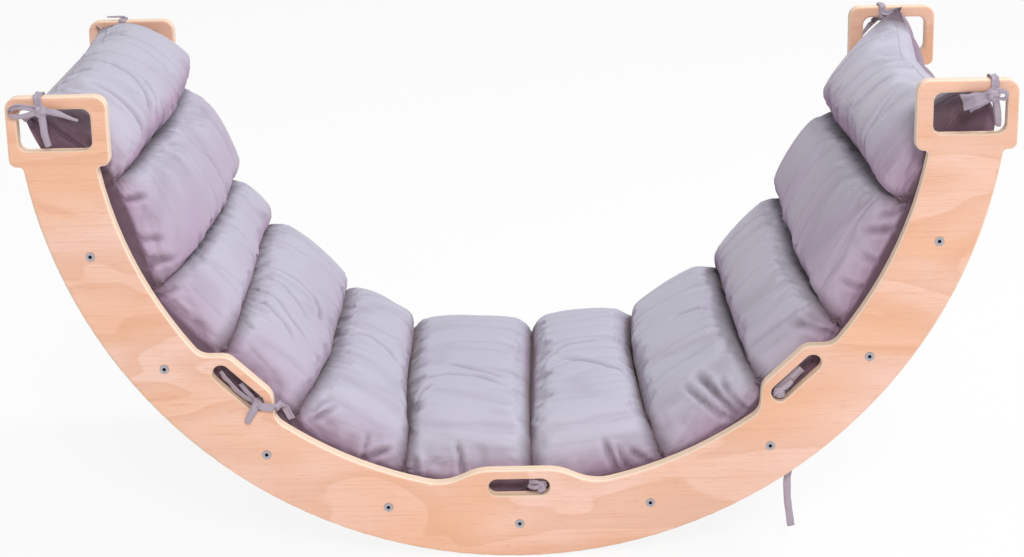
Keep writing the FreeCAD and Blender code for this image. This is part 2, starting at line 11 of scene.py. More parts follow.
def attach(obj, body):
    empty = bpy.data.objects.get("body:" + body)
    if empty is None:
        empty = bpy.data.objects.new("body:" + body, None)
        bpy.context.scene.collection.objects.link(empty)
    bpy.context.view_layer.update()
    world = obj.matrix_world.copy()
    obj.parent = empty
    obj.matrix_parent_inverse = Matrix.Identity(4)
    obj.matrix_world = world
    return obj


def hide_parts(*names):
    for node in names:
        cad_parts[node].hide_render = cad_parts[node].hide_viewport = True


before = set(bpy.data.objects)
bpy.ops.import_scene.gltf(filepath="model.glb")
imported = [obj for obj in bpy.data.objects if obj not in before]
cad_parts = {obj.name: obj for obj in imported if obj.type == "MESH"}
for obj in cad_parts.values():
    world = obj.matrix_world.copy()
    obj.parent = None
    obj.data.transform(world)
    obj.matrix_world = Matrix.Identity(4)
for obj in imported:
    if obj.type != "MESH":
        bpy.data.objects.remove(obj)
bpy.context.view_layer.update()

bl_info = {
    "name": "Climbing Frame",
    "version": (1, 0, 0),
    "blender": (4, 5, 0),
    "location": "3D View > Sidebar > Climbing Frame",
    "description": "Dresses a rocking climbing frame: plywood, rungs, screws, channel cushion and its ties",
    "category": "Object",
}

ROOT = "root"
RUNGS = [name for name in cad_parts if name.startswith("rung_")]

# Middle of the circle that the panels follow, and the circles about it, in metres.
CIRCLE_Z = 0.540
RUNG_TOPS = 0.4832
RUNG_STEP = 17.4
SLOT_BAR = 0.4405
SLOT_ANGLE = 43.5
PANEL_MIDDLE = 0.249
SCREW_FACE = 0.2577

# Seams between the channels, in degrees from straight down, at the front hem and at the rear hem.
SEAMS_FRONT = (-78.0, -61.6, -48.5, -34.3, -16.6, 2.2, 21.2, 38.6, 52.9, 72.8)
SEAMS_REAR = (-80.0, -63.0, -50.8, -34.1, -18.9, 2.7, 21.4, 39.2, 56.3, 73.0)
# How far each seam strays to the right of a straight line in mid width, in degrees, and its radius at the front
# hem and in mid width, in metres.
SEAM_STRAY = (0.8, -0.3, -2.4, 0.6, -1.2, 0.0, -1.6, 0.0, 1.0, 0.4)
SEAM_HEM = (0.454, 0.461, 0.447, 0.450, 0.460, 0.457, 0.460, 0.444, 0.459, 0.457)
SEAM_RADIUS = (0.438, 0.430, 0.416, 0.426, 0.434, 0.414, 0.432, 0.426, 0.424, 0.436)
# Radius of each channel's crest in mid width, from the left end to the right one. The two end channels stand
# clear of the rungs, so theirs is a height above the line from rim to seam instead.
CHANNEL_CREST = (None, 0.389, 0.391, 0.381, 0.391, 0.381, 0.381, 0.391, 0.388, 0.390, None)
END_HEIGHT = (0.054, 0.044)
# How far each channel slumps to the right, as a share of its height.
CHANNEL_LEAN = (0.25, 0.20, 0.20, 0.25, 0.15, 0.05, 0.0, -0.10, -0.08, -0.06, -0.06)
# How much steeper its downhill side is than its uphill one; above 0 downhill is on the right.
CHANNEL_SLUMP = (0.6, 0.6, 0.8, 0.7, 0.4, 0.1, 0.0, -0.4, -0.4, -0.4, -0.4)
# Front hem in the middle of each channel: its radius, and how far it stands back from the cushion's edge.
HEM_FRONT = (
    (None, 0.006), (0.453, 0.007), (0.461, 0.007), (0.460, 0.006), (0.466, 0.003), (0.466, 0.003),
    (0.466, 0.003), (0.468, 0.004), (0.462, 0.004), (0.459, 0.005), (None, 0.004),
)
# How boxy the cushion's rear and front ends are, and a typical height and length of a channel's section.
END_POWER = 5
FRONT_POWER = 3.6
TYPICAL_HEIGHT = 0.068
TYPICAL_LENGTH = 0.13
# Rows of the finished cloth for each row of the simulated one, and columns likewise.
FINER_ROWS = 3
FINER_COLUMNS = 3
# Places at which a channel's section and the cushion's end curve are measured.
PROFILE_SAMPLES = 1200
END_SAMPLES = 4000
# Folds of the cloth: channel, places as share of the channel's cloth and metres from the front hem, depth, half width.
FOLDS = (
    (0, ((0.21, 0.190), (0.35, 0.187), (0.49, 0.178), (0.62, 0.152), (0.76, 0.122)), 0.0045, 0.0035),
    (0, ((0.44, 0.198), (0.56, 0.192), (0.66, 0.168), (0.76, 0.144)), 0.0045, 0.0032),
    (0, ((0.32, 0.100), (0.51, 0.100), (0.65, 0.093), (0.78, 0.078)), 0.0045, 0.0032),
    (1, ((0.20, 0.000), (0.22, 0.010), (0.27, 0.032)), 0.0065, 0.0030),
    (1, ((0.82, 0.000), (0.81, 0.010), (0.83, 0.036)), 0.0075, 0.0032),
    (1, ((0.55, 0.002), (0.59, 0.010), (0.64, 0.032)), 0.0045, 0.0032),
    (1, ((0.73, 0.001), (0.76, 0.008), (0.79, 0.030)), 0.0053, 0.0032),
    (2, ((0.15, 0.002), (0.15, 0.014), (0.18, 0.032)), 0.0045, 0.0030),
    (3, ((0.05, 0.058), (0.16, 0.062)), 0.0045, 0.0030),
    (3, ((0.04, 0.186), (0.12, 0.191), (0.30, 0.194), (0.42, 0.176), (0.55, 0.148)), 0.0039, 0.0032),
    (3, ((0.14, 0.228), (0.24, 0.235), (0.39, 0.242), (0.54, 0.233), (0.63, 0.206)), 0.0036, 0.0032),
    (3, ((0.06, 0.148), (0.11, 0.148), (0.28, 0.141), (0.44, 0.120), (0.61, 0.106)), 0.0036, 0.0032),
    (3, ((0.10, 0.112), (0.19, 0.116), (0.38, 0.104), (0.52, 0.089)), 0.0033, 0.0032),
    (3, ((0.56, 0.241), (0.62, 0.219), (0.64, 0.180)), 0.0042, 0.0032),
    (4, ((0.17, 0.016), (0.21, 0.032), (0.27, 0.048)), 0.0045, 0.0030),
    (4, ((0.11, 0.020), (0.13, 0.037), (0.22, 0.052)), 0.0040, 0.0030),
    (4, ((0.65, 0.006), (0.64, 0.017), (0.62, 0.036)), 0.0040, 0.0028),
    (4, ((0.66, 0.004), (0.74, 0.018), (0.85, 0.030)), 0.0060, 0.0032),
    (4, ((0.22, 0.236), (0.39, 0.246), (0.55, 0.236), (0.70, 0.206)), 0.0036, 0.0050),
    (5, ((0.06, 0.024), (0.10, 0.013), (0.12, 0.002)), 0.0065, 0.0030),
    (5, ((0.40, 0.050), (0.43, 0.031), (0.46, 0.006)), 0.0055, 0.0028),
    (5, ((0.14, 0.125), (0.18, 0.138), (0.26, 0.155)), 0.0045, 0.0028),
    (5, ((0.17, 0.165), (0.25, 0.180), (0.36, 0.188), (0.56, 0.181), (0.73, 0.160)), 0.0045, 0.0035),
    (5, ((0.39, 0.227), (0.56, 0.203), (0.72, 0.184)), 0.0036, 0.0035),
    (6, ((0.34, 0.236), (0.53, 0.213), (0.66, 0.192), (0.84, 0.166)), 0.0050, 0.0036),
    (6, ((0.17, 0.220), (0.26, 0.257), (0.39, 0.286), (0.58, 0.290)), 0.0039, 0.0040),
    (6, ((0.59, 0.044), (0.61, 0.022), (0.63, 0.002)), 0.0065, 0.0030),
    (6, ((0.68, 0.034), (0.71, 0.002)), 0.0040, 0.0028),
    (6, ((0.78, 0.026), (0.83, 0.013), (0.86, 0.002)), 0.0055, 0.0030),
    (7, ((0.45, 0.078), (0.51, 0.048), (0.57, 0.024), (0.63, 0.003)), 0.0065, 0.0030),
    (7, ((0.57, 0.082), (0.62, 0.056), (0.66, 0.030), (0.68, 0.003)), 0.0090, 0.0042),
    (7, ((0.72, 0.056), (0.74, 0.028), (0.74, 0.003)), 0.0075, 0.0032),
    (7, ((0.54, 0.269), (0.71, 0.258), (0.83, 0.238)), 0.0045, 0.0034),
    (8, ((0.64, 0.054), (0.78, 0.034), (0.85, 0.004)), 0.0060, 0.0045),
    (8, ((0.80, 0.052), (0.90, 0.028), (0.95, 0.004)), 0.0060, 0.0038),
    (9, ((0.66, 0.040), (0.75, 0.014), (0.78, 0.001)), 0.0060, 0.0034),
    (9, ((0.26, 0.034), (0.30, 0.012), (0.31, 0.001)), 0.0050, 0.0030),
    (9, ((0.83, 0.030), (0.91, 0.004)), 0.0050, 0.0030),
    (9, ((0.50, 0.026), (0.52, 0.001)), 0.0045, 0.0032),
    (10, ((0.18, 0.120), (0.34, 0.124), (0.64, 0.138)), 0.0039, 0.0032),
    (10, ((0.20, 0.240), (0.42, 0.219), (0.68, 0.212)), 0.0039, 0.0032),
)
# Rims of the end channels as (station from front to rear, X, Z above the circle's middle), in metres.
LEFT_RIM = ((-1.0, -0.533, -0.022), (-0.6, -0.529, -0.014), (0.4, -0.528, -0.010), (1.0, -0.534, -0.004))
RIGHT_RIM = ((-1.0, 0.514, -0.010), (-0.7, 0.509, -0.028), (-0.3, 0.506, -0.040), (0.2, 0.505, -0.044),
             (0.5, 0.505, -0.042), (0.76, 0.508, -0.022), (1.0, 0.503, 0.002))
# Where the backs of the end channels are drawn to, as X and Z above the circle's middle.
END_BACKS = ((-0.520, -0.062), (0.560, -0.062))

# Top sheet, in metres and degrees: how far the seams' ends stand back from the front edge, the least height of an end
# channel, how much the channels' heights vary, how their lean grows with height, and how far the seams wander.
SEAM_INSET = 0.003
END_LEAST = 0.003
UNEVEN = 0.05
LEAN_POWER = 1.4
SEAM_WANDER = 0.5
# Channels before this one run downhill to the right.
MIDDLE_CHANNEL = 5
# Base: degrees over which its sag fades at the outer rungs, how far it swings out beyond them, over how many degrees
# and with which power, how far it lifts off the rungs at the hems, and how far the hem strips bulge.
SAG_FADE = 4
SWING_OUT = 0.047
SWING_DEGREES = 18.8
SWING_POWER = 1.55
HEM_LIFT = 0.013
STRIP_BULGE = 0.0015
# Simulation: its frames, its cloth, and how far from a seam and from a hem the swell is full.
SIM_FRAMES = 20
SIM_CLOTH = {
    "quality": 6, "mass": 0.25, "tension_stiffness": 18, "compression_stiffness": 14, "shear_stiffness": 6,
    "bending_stiffness": 0.3, "shrink_min": -0.05, "vertex_group_mass": "sewn", "pin_stiffness": 1.0,
    "use_pressure": True,
}
SEAM_HOLD = 0.03
HEM_HOLD = 0.09
# Depth of each kind of crease in the top sheet, and of those in the base.
FOLD_DEPTH = 0.0018
PUCKER_DEPTH = 0.0016
GATHER_DEPTH = 0.0028
DRAG_DEPTH = 0.0020
FAN_DEPTH = 0.0018
DENT_DEPTH = 0.0026
BASE_CREASE = 0.0035
BASE_DENT = 0.0020
# Folds drawn one by one: depth share at a free end, how near the hem a fold is cut short, how fast it deepens, and the
# height and place of the lips beside it, as shares of its depth and half width.
FREE_END = 0.3
CUT_SHORT = 0.012
DEEPENS = 4
LIP_HEIGHT = 0.25
LIP_PLACE = 2.4
# Where a seam meets a hem: how much the cloth is pinched in, how high its tufts are, and the reach of both.
PINCH = 0.34
PINCH_REACH = 0.014
TUFT_HEIGHT = 0.008
TUFT_REACH = 0.013
# Sewn line of a hem: depth, place and half width. Beside any sewn line the creases fade out.
SEWN_DEPTH = 0.0012
SEWN_PLACE = 0.0065
SEWN_HALF_WIDTH = 0.003
HELD = 0.004
# Stitches: rows of cloth from the hem, part of a channel from the rim, and how far they lie above the cloth.
STITCH_ROW = 3
STITCH_PART = 8
STITCH_LIFT = 0.0002
# Painted shade in the cloth's colour: its share in tucks between channels, in creases, behind a panel and outside a
# hem's stitches, on the base and on the hem strips.
TUCK_SHADE = 0.95
CREASE_SHADE = 0.68
HEM_SHADE = 0.9
BASE_SHADE = 0.52
STRIP_SHADE = 0.88
# Gap over which two channels shade each other, and its fall-off; then the depth where a crease's shade begins, over
# how far it deepens, and its fall-off.
TUCK_GAP = 0.020
TUCK_POWER = 1.3
CREASE_FROM = 0.0008
CREASE_OVER = 0.0100
CREASE_POWER = 0.8
# Where the shade behind a panel begins, as a radius and as a distance from mid width, and where the shade of a hem
# ends, each with the distance over which it changes.
BEHIND_RADIUS, BEHIND_OVER = 0.456, 0.012
BEHIND_SIDE, BEHIND_SIDE_OVER = 0.18, 0.03
HEM_BAND, HEM_BAND_OVER = 0.0085, 0.005
# Distance between the cotton's threads as they are drawn, in metres.
WEAVE = 0.0016

# Route of the hanging tail, in metres, as in the part's source.
TAIL_ROUTE = (
    (0.2992, -0.2373, 0.1975), (0.3062, -0.2373, 0.1825), (0.3122, -0.2373, 0.1625), (0.3142, -0.2373, 0.1375),
    (0.3112, -0.2373, 0.1075), (0.3072, -0.2373, 0.0815), (0.3082, -0.2373, 0.0515), (0.3132, -0.2373, 0.0235),
)

# Ties, in millimetres along the bar that each is on, out from the panel's middle, and up. A strap is its route,
# the directions of its width from start to end, its width, how much it is folded, and its width's share at its end.
# A handle tie begins with its X and its panel's side, and a slot tie with its angle and its way along the bar; both
# end with their knot's middle and radii.
ALONG, UP = (1, 0, 0), (0, 0, 1)
HANDLE_BAR_Z = 0.539
HANDLE_HALF_BAR = 7.0
HANDLE_TIES = {
    "front_left": (-0.513, -1, [
        (((-21, -13, -23), (-10, -14, -14), (-1, -12, -6), (0, -11, 2)), ((0, 1, 0.4), ALONG), 8, 0.2, 1.0),
        (((2, 15, -5), (-10, 19, -1), (-22, 20, 1), (-31, 18, -5), (-29, 14, -13), (-18, 14, -14), (-6, 16, -11),
          (2, 15, -8)), ((0, 0.5, 0.9), (0, 0.9, 0.5), (0, 0.5, 0.9)), 7.5, 0.25, 1.0),
        (((6, 16, -7), (18, 18, -8), (30, 15, -13), (43, 12.5, -19)), ((0, 0.2, 1), (0, 0.4, 1)), 9, 0.22, 0.35),
        (((4, 16, -9), (6, 18, -20), (6, 15, -34), (9, 12.5, -47)), ((1, 0.3, 0), (1, -0.2, 0)), 9, 0.2, 0.9),
    ], ((4, 15, -7), (8.5, 6.5, 7.5))),
    "front_right": (0.522, -1, [
        (((-9, -13, -16), (-4, -13, -10), (0, -12, -4), (0, -11, 2)), ((0, 1, 0.4), ALONG), 8, 0.2, 1.0),
        (((-3, 15, -9), (-13, 17, -11), (-23, 15, -13), (-35, 12, -17)), ((0, 0.4, 1), (0, -0.2, 1)), 13, 0.42, 1.5),
        (((-3, 15, -10), (-12, 13, -15), (-20, 13, -19), (-28, 12, -24)), ((0, 0.6, 1), (0.4, 0.4, 1)), 9, 0.35, 1.3),
        (((-1, 15, -5), (7, 18, -4), (13, 16, -9), (10, 13, -15), (-2, 14, -11)), ((0, 0.6, 0.8), (0, 0.9, 0.4)),
         7, 0.25, 1.0),
        (((-1, 12, -10), (3, 3, -22), (6, 0, -34), (7, -3, -47)), ((0.5, 0.8, 0), (0.7, 0.6, 0)), 10, 0.25, 0.9),
    ], ((-3, 15, -9), (7.5, 6.5, 8))),
    "rear_right": (0.481, 1, [
        (((21, -13, 3), (13, -14, 1), (4, -12.5, -2), (0, -11, 2)), ((0, 0.4, 1), ALONG), 8, 0.2, 1.0),
        (((6, 15, -5), (18, 19, -4), (30, 18, -8), (28, 14, -16), (17, 14, -14), (5, 15, -10)),
         ((0, 0.6, 0.8), (0, 0.9, 0.4), (0, 0.6, 0.8)), 8, 0.25, 1.0),
        (((2, 15, -9), (-6, 15, -14), (-14, 13, -22), (-22, 12, -33)), ((0.6, 0.2, 0.8), (0.8, 0, 0.5)), 9, 0.22, 0.5),
        (((5, 16, -9), (9, 17, -20), (12, 14, -32), (16, 12.5, -44)), (ALONG, (1, -0.2, 0)), 9, 0.2, 0.9),
    ], ((4, 15, -8), (8.5, 6.5, 7.5))),
    "rear_left": (-0.505, 1, [
        (((-26, -13, -4), (-15, -14, -6), (-4, -12.5, -4), (0, -11, 2)), ((0, 0.4, 1), ALONG), 8, 0.2, 1.0),
        (((4, 15, -5), (16, 19, -3), (28, 17, -8), (25, 14, -16), (15, 14, -14), (4, 15, -10)),
         ((0, 0.6, 0.8), (0, 0.9, 0.4), (0, 0.6, 0.8)), 8, 0.25, 1.0),
        (((4, 16, -9), (7, 17, -20), (9, 14, -31), (11, 12.5, -42)), (ALONG, (1, -0.2, 0)), 9, 0.2, 0.9),
        (((3, -2, 11), (-5, -1, 11.5), (-13, -2, 11.5), (-21, -1, 11.5)), ((0, 1, 0.3), (0, 1, 0.2)), 3.5, 0.2, 0.5),
    ], ((3, 15, -8), (8, 6.5, 7.5))),
}
SLOT_TIES = {
    "left_slot": (-SLOT_ANGLE, 20, [
        (((52, -13, -9), (42, -13.5, -4.5), (31, -13, -1.2), (29, 0, -0.6), (26, 12.5, -3), (17, 12.5, -9),
          (10, 12.5, -14), (8, 0, -15), (8, -12, -16)),
         ((0.5, 0, 0.8), (0.7, 0, -0.7), (-0.5, 0, 0.8), UP), 9, 0.14, 1.0),
        (((7, 9, -14), (9, 13, -20), (10, 13.5, -27), (14, 12.5, -38)), (ALONG, (1, 0, 0.3)), 9, 0.2, 0.9),
        (((-46, -5, -18), (-30, -3, -21), (-12, -1, -22), (4, 2, -18)), ((0, 1, 0.5), (0, 0.8, 0.6)), 10, 0.25, 0.9),
        (((-20, -6, -14), (-8, -4, -17), (2, 0, -16), (8, 6, -14)), ((0, 0.5, 1), (0, 0.5, 1)), 8, 0.3, 0.9),
    ], ((8, 6, -15), (6.5, 6.5, 6.5))),
    "middle_slot": (0.0, 20, [
        (((-3, -12, -14), (-1, -8, -15), (1, -4, -15), (4, 0, -15)), ((1, 0, 0.2), ALONG), 9, 0.2, 1.0),
        (((-8, -3, -12), (-2, 5, -10), (5, 7, -13), (8, 4, -19), (2, 2, -21)), ((0.6, 0.6, 0.6), (0.6, 0.8, 0)),
         8, 0.3, 0.9),
        (((-9, -2, -18), (-4, 4, -18), (1, 6, -16), (6, 4, -12)), ((0.2, 0.5, 1), (0.8, 0.4, 0.4)), 7, 0.3, 0.9),
    ], ((3, 0, -15.5), (9, 6.5, 7.5))),
    "right_slot": (SLOT_ANGLE, -20, [
        (((-3, -9.5, -15), (-1, -6, -15), (1, -3, -15), (2, 0, -15)), (ALONG, ALONG), 9, 0.2, 1.0),
        (((-8, -2, -15), (4, -3, -16), (16, -5, -15), (30, -8, -15)), ((0, 0.2, 1), (0, -0.2, 1)), 13, 0.2, 0.9),
        (((-9, 2, -13), (-2, 4, -15), (6, 3, -17), (13, 0, -17)), ((0, 0.5, 1), (0, 0.3, 1)), 9, 0.25, 0.8),
    ], ((-6, 1, -16), (7, 6, 7.5))),
}
# Straps: faces across one side, crumples per metre, their share of a fold, and how much they narrow the strap.
STRAP_RIBS = 6
CRUMPLES = 120
CRUMPLE_FOLD = 0.55
CRUMPLE_NARROW = 0.22
# Knots: how deep the wrapped folds and the lumps are, as shares of the radius.
KNOT_WRAP = 0.34
KNOT_LUMP = 0.16

# Stage: the floor's corners and height, the room's light, the lamps (name, place, target, size, power, tint), and the
# camera's place, pitch, yaw and roll in degrees, and sensor in millimetres.
FLOOR_CORNERS = ((-14, -10), (14, -10), (14, 22), (-14, 22))
FLOOR_Z = -0.0005
ROOM_LIGHT = 0.39
LAMPS = (
    ("key", (0.5, -4.3, 3.4), (0, 0, 0.3), 1.2, 126.0, "#FFF9F5"),
    ("overhead", (2.6, 0.6, 4.0), (0, 0, 0.2), 1.2, 105.0, "#F6F8FF"),
)
CAMERA_PLACE = (0.0078, -2.5979, 1.0094)
CAMERA_TURNS = (16.136, -0.273, -1.137)
CAMERA_SENSOR = 36
WHITE = "#FFFFFF"


class WoodLook(bpy.types.PropertyGroup):
    face: StringProperty(name="Face", description="Colour of the plywood's face veneer", default="#EFBD9F")
    streak: StringProperty(name="Streak", description="Colour of its late growth and ticks", default="#DAA07B")
    pale: StringProperty(name="Pale", description="Colour of its pinkish patches", default="#F2CBBA")
    knot: StringProperty(name="Knot", description="Colour of its pin knots", default="#7C573F")
    edge: StringProperty(name="Edge", description="Colour of the light plies on a sanded edge", default="#FBE4CE")
    ply: StringProperty(name="Ply", description="Colour of the dark plies on a sanded edge", default="#EFD0B0")
    rung: StringProperty(name="Rung", description="Colour of the turned rungs", default="#E6C39C")
    steel: StringProperty(name="Screw", description="Colour of the zinc-plated screws", default="#B4B0B8")
    # Painted shade: the sockets' dark colour stands in for the shade inside them.
    socket: StringProperty(name="Socket", description="Colour of the screws' sockets", default="#3B383E")


class ClothLook(bpy.types.PropertyGroup):
    # Painted light and painted shade: the cushion's cotton takes the lit colour where it faces up and the deep colour
    # where it faces sideways or down; the ties mix a little of the deep colour in at random.
    lit: StringProperty(name="Cotton", description="Colour of the cushion's cotton on top", default="#C0BECD")
    deep: StringProperty(name="Deep", description="Colour of the cotton where it has faded least", default="#B196B2")
    tie: StringProperty(name="Tie", description="Colour of the cotton ties", default="#7A5F80")
    # Painted shade: the colour that the cushion's cotton is darkened towards in tucks, creases, behind the panels,
    # along the hems, and on the base and hem strips.
    under: StringProperty(name="Under side", description="Colour of the base and of the hem strip", default="#5A444F")
    thread: StringProperty(name="Thread", description="Colour of the sewing thread", default="#8E7F96")


class CushionShape(bpy.types.PropertyGroup):
    half_width: FloatProperty(name="Half width", description="Half of the cushion's width between the panels",
                              default=0.2352, unit="LENGTH")
    hem: FloatProperty(name="Hem", description="Radius at which the top sheet is hemmed", default=0.456, unit="LENGTH")
    sag: FloatProperty(name="Sag", description="How far the base hangs between rungs", default=0.008, unit="LENGTH")
    swell: FloatProperty(name="Swell", description="Farthest that the stuffing may push the cloth out",
                         default=0.006, unit="LENGTH")
    pressure: FloatProperty(name="Pressure", description="Pressure of the stuffing in the simulation", default=4.0)
    across: IntProperty(name="Across", description="Faces across one channel", default=24)
    along: IntProperty(name="Along", description="Faces from hem to hem", default=80)
    stitch_pitch: FloatProperty(name="Stitch pitch", description="Distance between stitches", default=0.004,
                                unit="LENGTH")
    stitch_length: FloatProperty(name="Stitch length", description="Length of a stitch", default=0.0028, unit="LENGTH")
    thread_size: FloatProperty(name="Thread", description="Thickness of the sewing thread", default=0.0007,
                               unit="LENGTH")


class TieShape(bpy.types.PropertyGroup):
    width: FloatProperty(name="Width", description="Width of a tie", default=0.009, unit="LENGTH")
    thickness: FloatProperty(name="Thickness", description="Thickness of its folded cloth", default=0.0013,
                             unit="LENGTH")


class StageLook(bpy.types.PropertyGroup):
    floor: StringProperty(name="Floor", description="Colour of the floor", default="#FDFCFC")
    whiteness: FloatProperty(name="Whiteness", description="Share of plain white in the floor as it is seen",
                             default=0.90, subtype="FACTOR")
    lens: FloatProperty(name="Lens", description="Focal length in millimetres", default=77.34)


def linear(code):
    """A hex sRGB colour as linear RGBA."""
    shares = [int(code[start:start + 2], 16) / 255 for start in (1, 3, 5)]
    return [c / 12.92 if c <= 0.04045 else ((c + 0.055) / 1.055) ** 2.4 for c in shares] + [1.0]


def feed(tree, node, inputs):
    """Set or link the inputs of a node."""
    for name, value in inputs.items():
        if isinstance(value, bpy.types.NodeSocket):
            tree.links.new(value, node.inputs[name])
        else:
            node.inputs[name].default_value = value


def add(tree, kind, inputs=None, **settings):
    """Add a node, set its settings, and set or link its inputs."""
    made = tree.nodes.new(kind)
    for name, value in settings.items():
        setattr(made, name, value)
    feed(tree, made, inputs or {})
    return made


def new_material(name):
    """An empty material with its shader; returns the material, its tree and the shader."""
    material = bpy.data.materials.new(name)
    material.use_nodes = True
    tree = material.node_tree
    return material, tree, tree.nodes["Principled BSDF"]


def veneer(tree, place, look):
    """Colour of a rotary-cut softwood face, and the height of its fibres."""
    noises = {}
    for name, scale, settings in (
        # Growth figure, 20 to 60 mm across.
        ("figure", (2.4, 3.0, 8.0), {"Detail": 2.0, "Roughness": 0.45, "Distortion": 0.8}),
        # Pinkish patches, about 200 mm long.
        ("patches", (4.0, 5.0, 10.0), {"Detail": 2.0, "Distortion": 0.6}),
        # Long grain lines 3 mm apart.
        ("lines", (6.0, 20.0, 330.0), {"Detail": 3.0}),
        # Fibre ticks 1 mm across and 18 mm long.
        ("fibres", (55.0, 60.0, 950.0), {"Detail": 2.0}),
    ):
        at = add(tree, "ShaderNodeMapping", {"Vector": place.outputs["Object"], "Scale": scale})
        noise = add(tree, "ShaderNodeTexNoise", {"Vector": at.outputs[0], "Scale": 1.0, **settings})
        noises[name] = noise.outputs["Fac"]
    # Contours of the figure, each with one soft and one crisp side.
    rings = add(tree, "ShaderNodeMath", {0: noises["figure"], 1: 6.0}, operation="MULTIPLY")
    ring = add(tree, "ShaderNodeMath", {0: rings.outputs[0]}, operation="FRACT")
    late = add(tree, "ShaderNodeMapRange", {"Value": ring.outputs[0], "From Min": 0.25, "From Max": 0.95,
                                            "To Max": 0.38})
    early = add(tree, "ShaderNodeMapRange", {"Value": ring.outputs[0], "From Min": 0.95, "From Max": 1.0,
                                             "To Min": 1.0, "To Max": 0.0})
    growth = add(tree, "ShaderNodeMath", {0: late.outputs[0], 1: early.outputs[0]}, operation="MULTIPLY")
    # Pin knots 3 mm across, one in about 150 mm of wood.
    flat = add(tree, "ShaderNodeMapping", {"Vector": place.outputs["Object"], "Scale": (1.0, 0.0, 1.0)})
    knots = add(tree, "ShaderNodeTexVoronoi", {"Vector": flat.outputs[0], "Scale": 6.5})
    knot_share = add(tree, "ShaderNodeMapRange", {"Value": knots.outputs["Distance"], "From Min": 0.006,
                                                  "From Max": 0.014, "To Min": 0.75, "To Max": 0.0})
    patch_share, line_share, fibre_share = (
        add(tree, "ShaderNodeMapRange", {"Value": noises[name], "From Min": low, "From Max": high, "To Max": most})
        for name, low, high, most in (("patches", 0.38, 0.62, 1.0), ("lines", 0.52, 0.74, 0.32),
                                      ("fibres", 0.58, 0.74, 0.5)))
    colour = add(tree, "ShaderNodeMix", {"Factor": patch_share.outputs[0], "A": linear(look.face),
                                         "B": linear(look.pale)}, data_type="RGBA")
    for share, tint in ((growth, look.streak), (line_share, look.streak), (fibre_share, look.streak),
                        (knot_share, look.knot)):
        colour = add(tree, "ShaderNodeMix", {"Factor": share.outputs[0], "A": colour.outputs["Result"],
                                             "B": linear(tint)}, data_type="RGBA")
    return colour.outputs["Result"], noises["fibres"]


def plywood(look):
    """Lacquered softwood plywood: peach face with crisp growth figure and ticks, pale sanded edges, a soft gloss."""
    material, tree, shader = new_material("lacquered_plywood")
    place = add(tree, "ShaderNodeTexCoord")
    face, fibres = veneer(tree, place, look)
    parts = add(tree, "ShaderNodeSeparateXYZ", {0: place.outputs["Object"]})
    # Seven plies in 18 mm.
    phase = add(tree, "ShaderNodeMath", {0: parts.outputs["Y"], 1: 2 * math.pi / 0.0052}, operation="MULTIPLY")
    wave = add(tree, "ShaderNodeMath", {0: phase.outputs[0]}, operation="SINE")
    ply_share = add(tree, "ShaderNodeMapRange", {"Value": wave.outputs[0], "From Min": -0.2, "From Max": 0.5})
    edge = add(tree, "ShaderNodeMix", {"Factor": ply_share.outputs[0], "A": linear(look.edge),
                                       "B": linear(look.ply)}, data_type="RGBA")
    turned = add(tree, "ShaderNodeSeparateXYZ", {0: place.outputs["Normal"]})
    facing = add(tree, "ShaderNodeMath", {0: turned.outputs["Y"]}, operation="ABSOLUTE")
    on_face = add(tree, "ShaderNodeMapRange", {"Value": facing.outputs[0], "From Min": 0.55, "From Max": 0.95})
    colour = add(tree, "ShaderNodeMix", {"Factor": on_face.outputs[0], "A": edge.outputs["Result"], "B": face},
                 data_type="RGBA")
    bump = add(tree, "ShaderNodeBump", {"Height": fibres, "Strength": 0.25, "Distance": 0.0004})
    rough = add(tree, "ShaderNodeMapRange", {"Value": fibres, "To Min": 0.42, "To Max": 0.6})
    feed(tree, shader, {"Base Color": colour.outputs["Result"], "Normal": bump.outputs[0],
                        "Roughness": rough.outputs[0], "IOR": 1.46})
    return material


def rung_wood(look):
    """Turned beech: straight grain along the rung with short flecks, sanded and lightly oiled."""
    material, tree, shader = new_material("turned_beech")
    place = add(tree, "ShaderNodeTexCoord")
    # Flecks 1.5 mm wide and 12 mm long.
    grain_at = add(tree, "ShaderNodeMapping", {"Vector": place.outputs["Object"], "Scale": (650.0, 80.0, 650.0)})
    grain = add(tree, "ShaderNodeTexNoise", {"Vector": grain_at.outputs[0], "Scale": 1.0, "Detail": 3.0})
    share = add(tree, "ShaderNodeMapRange", {"Value": grain.outputs["Fac"], "From Min": 0.4, "From Max": 0.75})
    colour = add(tree, "ShaderNodeMix", {"Factor": share.outputs[0], "A": linear(look.rung),
                                         "B": linear(look.streak)}, data_type="RGBA")
    bump = add(tree, "ShaderNodeBump", {"Height": grain.outputs["Fac"], "Strength": 0.2, "Distance": 0.0003})
    feed(tree, shader, {"Base Color": colour.outputs["Result"], "Normal": bump.outputs[0], "Roughness": 0.55})
    return material


